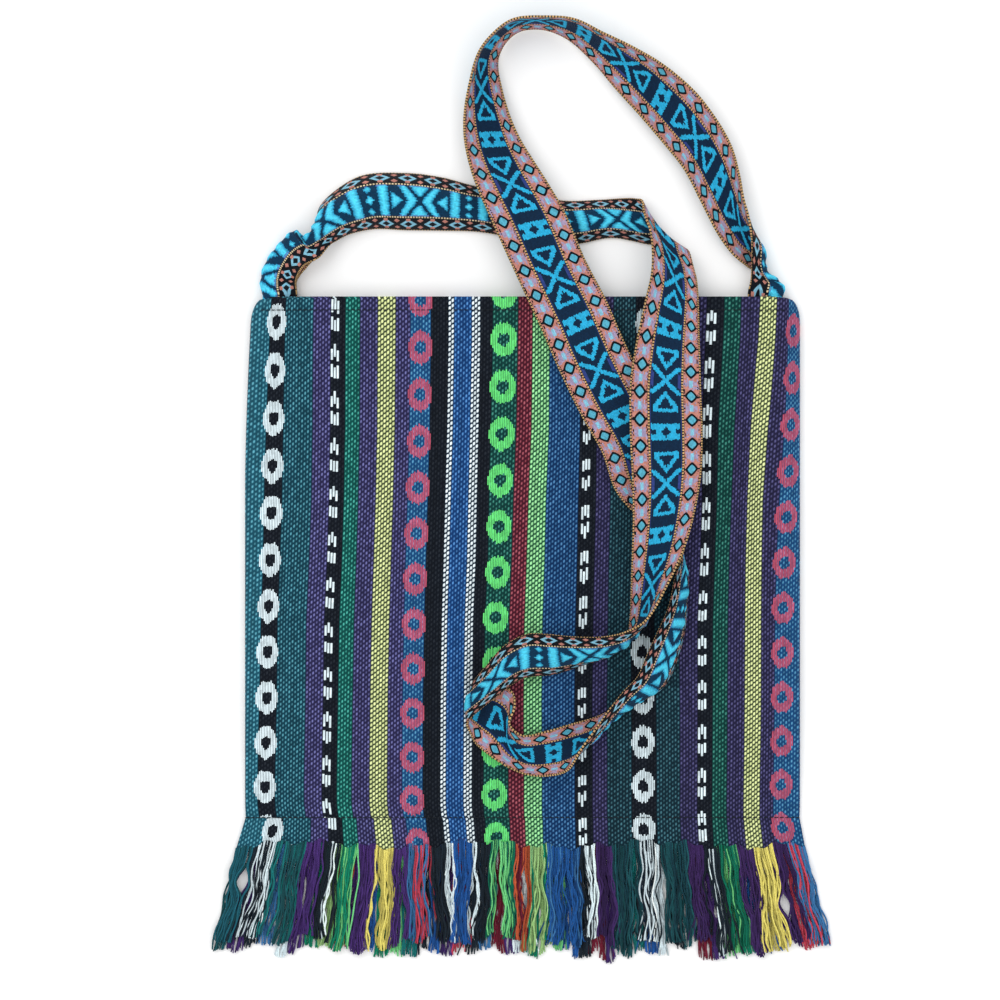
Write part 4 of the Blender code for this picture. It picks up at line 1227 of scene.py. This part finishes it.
def yarn_material():
    """Plied cotton: its own colour for each yarn, with the turn of the ply as a fine relief."""
    material = bpy.data.materials.new("fringe_yarn")
    maths = NodeMaths(material)
    tint = maths.node("ShaderNodeAttribute", attribute_name="yarn_colour").outputs["Color"]
    place = maths.node("ShaderNodeTexCoord").outputs["Object"]
    fluff = maths.node("ShaderNodeTexNoise")
    fluff.inputs["Scale"].default_value = 900.0
    fluff.inputs["Detail"].default_value = 3.0
    maths.tree.links.new(place, fluff.inputs["Vector"])
    tone = maths.add(0.66, maths.times(fluff.outputs["Fac"], 0.68))
    ply = maths.node("ShaderNodeTexWave", wave_type="BANDS", bands_direction="DIAGONAL")
    ply.inputs["Scale"].default_value = 420.0
    ply.inputs["Distortion"].default_value = 3.0
    maths.tree.links.new(place, ply.inputs["Vector"])
    maths.finish(maths.shaded(tint, tone), ply.outputs["Fac"], 0.0003)
    return material


def thread_material():
    """Dark sewing thread with the slant of its twist."""
    material = bpy.data.materials.new("sewing_thread_dark")
    maths = NodeMaths(material)
    place = maths.node("ShaderNodeTexCoord").outputs["Object"]
    twist = maths.node("ShaderNodeTexWave", wave_type="BANDS", bands_direction="DIAGONAL")
    twist.inputs["Scale"].default_value = 700.0
    maths.tree.links.new(place, twist.inputs["Vector"])
    tone = maths.blend(twist.outputs["Fac"], (0.006, 0.008, 0.012), (0.022, 0.028, 0.036))
    maths.finish(tone, twist.outputs["Fac"], 0.0002)
    return material


fringe_yarn = yarn_material()
sewing_thread = thread_material()

# %% Node tree that gives lines their round section


def group_tree(name, inputs):
    """A new node tree with a mesh in and out and these named inputs."""
    tree = bpy.data.node_groups.new(name, "GeometryNodeTree")
    tree.interface.new_socket("Lines", in_out="INPUT", socket_type="NodeSocketGeometry")
    for label, kind, value in inputs:
        made = tree.interface.new_socket(label, in_out="INPUT", socket_type=kind)
        if value is not None:
            made.default_value = value
    tree.interface.new_socket("Result", in_out="OUTPUT", socket_type="NodeSocketGeometry")
    start = tree.nodes.new("NodeGroupInput")
    end = tree.nodes.new("NodeGroupOutput")
    return tree, start, end


def new_nodes(tree, *kinds):
    return [tree.nodes.new(kind) for kind in kinds]


def join(tree, *wires):
    """Links sockets by name: a wire is a node and its output, then a node and its input."""
    for source, output, target, place in wires:
        tree.links.new(source.outputs[output], target.inputs[place])


def uneven_size(tree, start, least, most):
    """A random number between two limits for each point, drawn with the tree's own seed."""
    made = tree.nodes.new("FunctionNodeRandomValue")
    made.data_type = "FLOAT"
    low, high = [s for s in made.inputs if s.name in ("Min", "Max") and s.type == "VALUE"][:2]
    low.default_value = least
    high.default_value = most
    tree.links.new(start.outputs["Seed"], made.inputs["Seed"])
    return [s for s in made.outputs if s.type == "VALUE"][0]


def yarn_tree():
    """Lines to round yarns."""
    inputs = [
        ("Yarn radius", "NodeSocketFloat", YARN_RADIUS),
        ("Sides", "NodeSocketInt", 5),
        ("Seed", "NodeSocketInt", 7),
        ("Yarn material", "NodeSocketMaterial", None),
    ]
    tree, start, end = group_tree("yarns_from_lines", inputs)
    to_curve, size, thicker, radius, ring, tube, realize, paint = new_nodes(
        tree,
        "GeometryNodeMeshToCurve",
        "GeometryNodeInputNamedAttribute",
        "ShaderNodeMath",
        "ShaderNodeMath",
        "GeometryNodeCurvePrimitiveCircle",
        "GeometryNodeCurveToMesh",
        "GeometryNodeRealizeInstances",
        "GeometryNodeSetMaterial",
    )
    size.data_type = "FLOAT"
    size.inputs["Name"].default_value = "yarn_size"
    thicker.operation = "MULTIPLY"
    radius.operation = "MULTIPLY"
    ring.inputs["Radius"].default_value = 1.0
    tube.inputs["Fill Caps"].default_value = True
    tree.links.new(uneven_size(tree, start, 0.88, 1.12), thicker.inputs[1])
    join(
        tree,
        (start, "Lines", to_curve, "Mesh"),
        (size, "Attribute", thicker, 0),
        (thicker, 0, radius, 0),
        (start, "Yarn radius", radius, 1),
        (start, "Sides", ring, "Resolution"),
        (radius, 0, tube, "Scale"),
        (to_curve, "Curve", tube, "Curve"),
        (ring, "Curve", tube, "Profile Curve"),
        (tube, "Mesh", realize, "Geometry"),
        (realize, "Geometry", paint, "Geometry"),
        (start, "Yarn material", paint, "Material"),
        (paint, "Geometry", end, "Result"),
    )
    return tree


def input_name(tree, label):
    """The modifier's key for a named input of the tree."""
    return [item.identifier for item in tree.interface.items_tree if item.name == label][0]


def grow(name, lines, tree, values):
    """Runs the tree on a mesh of lines and keeps the result as a plain mesh of its own."""
    holder = add_object(name + "_lines", lines)
    modifier = holder.modifiers.new("grow", "NODES")
    modifier.node_group = tree
    for label, value in values.items():
        modifier[input_name(tree, label)] = value
    bpy.context.view_layer.update()
    ready = holder.evaluated_get(bpy.context.evaluated_depsgraph_get())
    mesh = bpy.data.meshes.new_from_object(ready)
    mesh.name = name
    bpy.data.objects.remove(holder, do_unlink=True)
    tidy = bmesh.new()
    tidy.from_mesh(mesh)
    bmesh.ops.recalc_face_normals(tidy, faces=tidy.faces)
    tidy.to_mesh(mesh)
    tidy.free()
    mesh.polygons.foreach_set("use_smooth", [True] * len(mesh.polygons))
    print(name, "faces", len(mesh.polygons))
    return add_object(name, mesh)


def line_mesh(name, points, edges, colours=None, sizes=None):
    mesh = bpy.data.meshes.new(name)
    mesh.from_pydata(points, edges, [])
    if colours is not None:
        tint = mesh.attributes.new("yarn_colour", "FLOAT_COLOR", "POINT")
        tint.data.foreach_set("color", np.array(colours, dtype=np.float32).ravel())
        size = mesh.attributes.new("yarn_size", "FLOAT", "POINT")
        size.data.foreach_set("value", np.array(sizes, dtype=np.float32))
    return mesh


yarns = yarn_tree()
fringes = []
for name, count, layer in (("front_fringe", 720, 1), ("back_fringe", 620, 0)):
    lines = line_mesh(name + "_lines", *fringe_lines(count, layer))
    values = {"Yarn radius": YARN_RADIUS, "Sides": 5, "Seed": 7 + layer, "Yarn material": fringe_yarn}
    fringes.append(grow(name, lines, yarns, values))
front_fringe, back_fringe = fringes

# %% [markdown]
# Dark stitches hold the bag: a row along the turned hem of the mouth on each of the cloths, a row
# straight across the foot, and one down each side in the nook between the cloths. Each stitch is a
# short rounded bar of thread; a node tree sets one at every step of the row.

# %% Rows of stitches
STITCH_PITCH = 0.0032
STITCH_LENGTH = 0.0025
THREAD = 0.0006


def stitch_shape():
    """One stitch along +Z: a small six-sided bar that narrows at its ends."""
    ring = np.arange(6) * math.pi / 3
    points, faces = [], []
    profile = ((-0.5, 0.35), (-0.32, 0.95), (0.0, 1.0), (0.32, 0.95), (0.5, 0.35))
    for place, size in profile:
        for turn in ring:
            points.append((
                math.cos(turn) * size * THREAD / 2,
                math.sin(turn) * size * THREAD / 2,
                place * STITCH_LENGTH,
            ))
    for level in range(len(profile) - 1):
        for corner in range(6):
            following = (corner + 1) % 6
            low, high = level * 6, level * 6 + 6
            faces.append((low + corner, low + following, high + following, high + corner))
    faces.append(tuple(reversed(range(6))))
    faces.append(tuple(range(len(points) - 6, len(points))))
    mesh = bpy.data.meshes.new("stitch")
    mesh.from_pydata(points, [], faces)
    return add_object("stitch_pattern", mesh)


def stitch_tree():
    """Sets one stitch at every step of a line, along its direction."""
    inputs = [
        ("Stitch pitch", "NodeSocketFloat", STITCH_PITCH),
        ("Stitch", "NodeSocketObject", None),
        ("Seed", "NodeSocketInt", 3),
        ("Thread material", "NodeSocketMaterial", None),
    ]
    tree, start, end = group_tree("stitches_on_line", inputs)
    to_curve, steps, tangent, turn, pattern, place, realize, paint = new_nodes(
        tree,
        "GeometryNodeMeshToCurve",
        "GeometryNodeResampleCurve",
        "GeometryNodeInputTangent",
        "FunctionNodeAlignRotationToVector",
        "GeometryNodeObjectInfo",
        "GeometryNodeInstanceOnPoints",
        "GeometryNodeRealizeInstances",
        "GeometryNodeSetMaterial",
    )
    steps.mode = "LENGTH"
    turn.axis = "Z"
    tree.links.new(uneven_size(tree, start, 0.92, 1.08), place.inputs["Scale"])
    join(
        tree,
        (start, "Lines", to_curve, "Mesh"),
        (to_curve, "Curve", steps, "Curve"),
        (start, "Stitch pitch", steps, "Length"),
        (steps, "Curve", place, "Points"),
        (start, "Stitch", pattern, "Object"),
        (pattern, "Geometry", place, "Instance"),
        (tangent, "Tangent", turn, "Vector"),
        (turn, "Rotation", place, "Rotation"),
        (place, "Instances", realize, "Geometry"),
        (realize, "Geometry", paint, "Geometry"),
        (start, "Thread material", paint, "Material"),
        (paint, "Geometry", end, "Result"),
    )
    return tree


def run_of_points(name, xs, ys, zs):
    """One line through all these places."""
    points = np.stack([xs, ys, zs], axis=1).tolist()
    return line_mesh(name, points, [(step, step + 1) for step in range(len(points) - 1)])


def side_line(name, side):
    """The line of a side seam's stitches, in the nook between the two cloths."""
    ys = np.linspace(MOUTH_Y - HEM_DEPTH - 0.004, SEAM_Y + FOOT_RISE * 0.5, 90)
    xs = side * (BAG_WIDTH / 2 - 0.0013) + left_slope(np.full_like(ys, side), ys)
    return run_of_points(name, xs, ys, np.full_like(ys, CLOTH + CLEARANCE + THREAD / 2))


def stitch_line(name, y, inset, height_at, lift):
    """The line of a row straight across a cloth, which ends this far short of its sides."""
    reach = BAG_WIDTH / 2 - inset
    xs = np.linspace(-reach, reach, 240)
    heights = height_at(xs / (BAG_WIDTH / 2), np.full_like(xs, y)) + lift
    return run_of_points(name, xs, np.full_like(xs, y), heights)


stitches = stitch_tree()
stitch = stitch_shape()
stitch_rows = {}
on_cloth = CLOTH / 2 + THREAD * 0.2
for name, y, inset, height_at, lift in (
    ("mouth_stitches_front", MOUTH_Y - HEM_DEPTH, 0.0105, front_height, on_cloth - 0.0002),
    ("mouth_stitches_back", MOUTH_Y - HEM_DEPTH, 0.0340, back_height, HEM_FOLD + on_cloth),
    ("foot_stitches", SEAM_Y, 0.0010, front_height, on_cloth - 0.0002),
):
    values = {"Stitch pitch": STITCH_PITCH, "Stitch": stitch, "Seed": 3, "Thread material": sewing_thread}
    lines = stitch_line(name + "_line", y, inset, height_at, lift)
    stitch_rows[name] = grow(name, lines, stitches, values)
for name, side in (("side_stitches_left", -1), ("side_stitches_right", 1)):
    stitch_rows[name] = grow(name, side_line(name + "_line", side), stitches, values)
bpy.data.objects.remove(stitch, do_unlink=True)

# %% [markdown]
# The two tacks that hold the strap's ends lie inside the closed mouth. They keep their solid shape and
# take the dark thread's finish. The white floor holds the bag's soft shadow.

# %% Threads inside the bag and the floor
for name in ("strap_tack_left", "strap_tack_right"):
    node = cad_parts[name]
    for index in range(len(node.material_slots)):
        node.material_slots[index].material = sewing_thread

FLOOR_REACH = 4
FLOOR_Z = -0.0003
floor_mesh = bpy.data.meshes.new("floor")
floor_corners = [(x * FLOOR_REACH, y * FLOOR_REACH, FLOOR_Z) for x, y in ((-1, -1), (1, -1), (1, 1), (-1, 1))]
floor_mesh.from_pydata(floor_corners, [], [(0, 1, 2, 3)])
floor = add_object("floor", floor_mesh)
floor_white = bpy.data.materials.new("floor_white")
floor_maths = NodeMaths(floor_white)
floor_maths.shader.inputs["Base Color"].default_value = (0.98, 0.98, 0.98, 1.0)
floor_maths.shader.inputs["Roughness"].default_value = 0.9
floor_mesh.materials.append(floor_white)

# %% [markdown]
# Every piece is hung under one empty for the whole bag, and the solids that it stands for are hidden.

pieces = (
    (front_cloth, "woven_stripe", ("front_panel",)),
    (back_cloth, "woven_stripe", ("back_panel",)),
    (front_fringe, "woven_stripe", ()),
    (back_fringe, "woven_stripe", ()),
    (strap, "jacquard_ribbon", ("shoulder_strap",)),
    (stitch_rows["mouth_stitches_front"], "sewing_thread", ("mouth_stitching_front",)),
    (stitch_rows["mouth_stitches_back"], "sewing_thread", ("mouth_stitching_back",)),
    (stitch_rows["foot_stitches"], "sewing_thread", ("foot_stitching",)),
    (stitch_rows["side_stitches_left"], "sewing_thread", ("side_seam_left",)),
    (stitch_rows["side_stitches_right"], "sewing_thread", ("side_seam_right",)),
)
for piece, slot_name, nodes in pieces:
    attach(piece, "root")
    if nodes:
        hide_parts(*nodes)
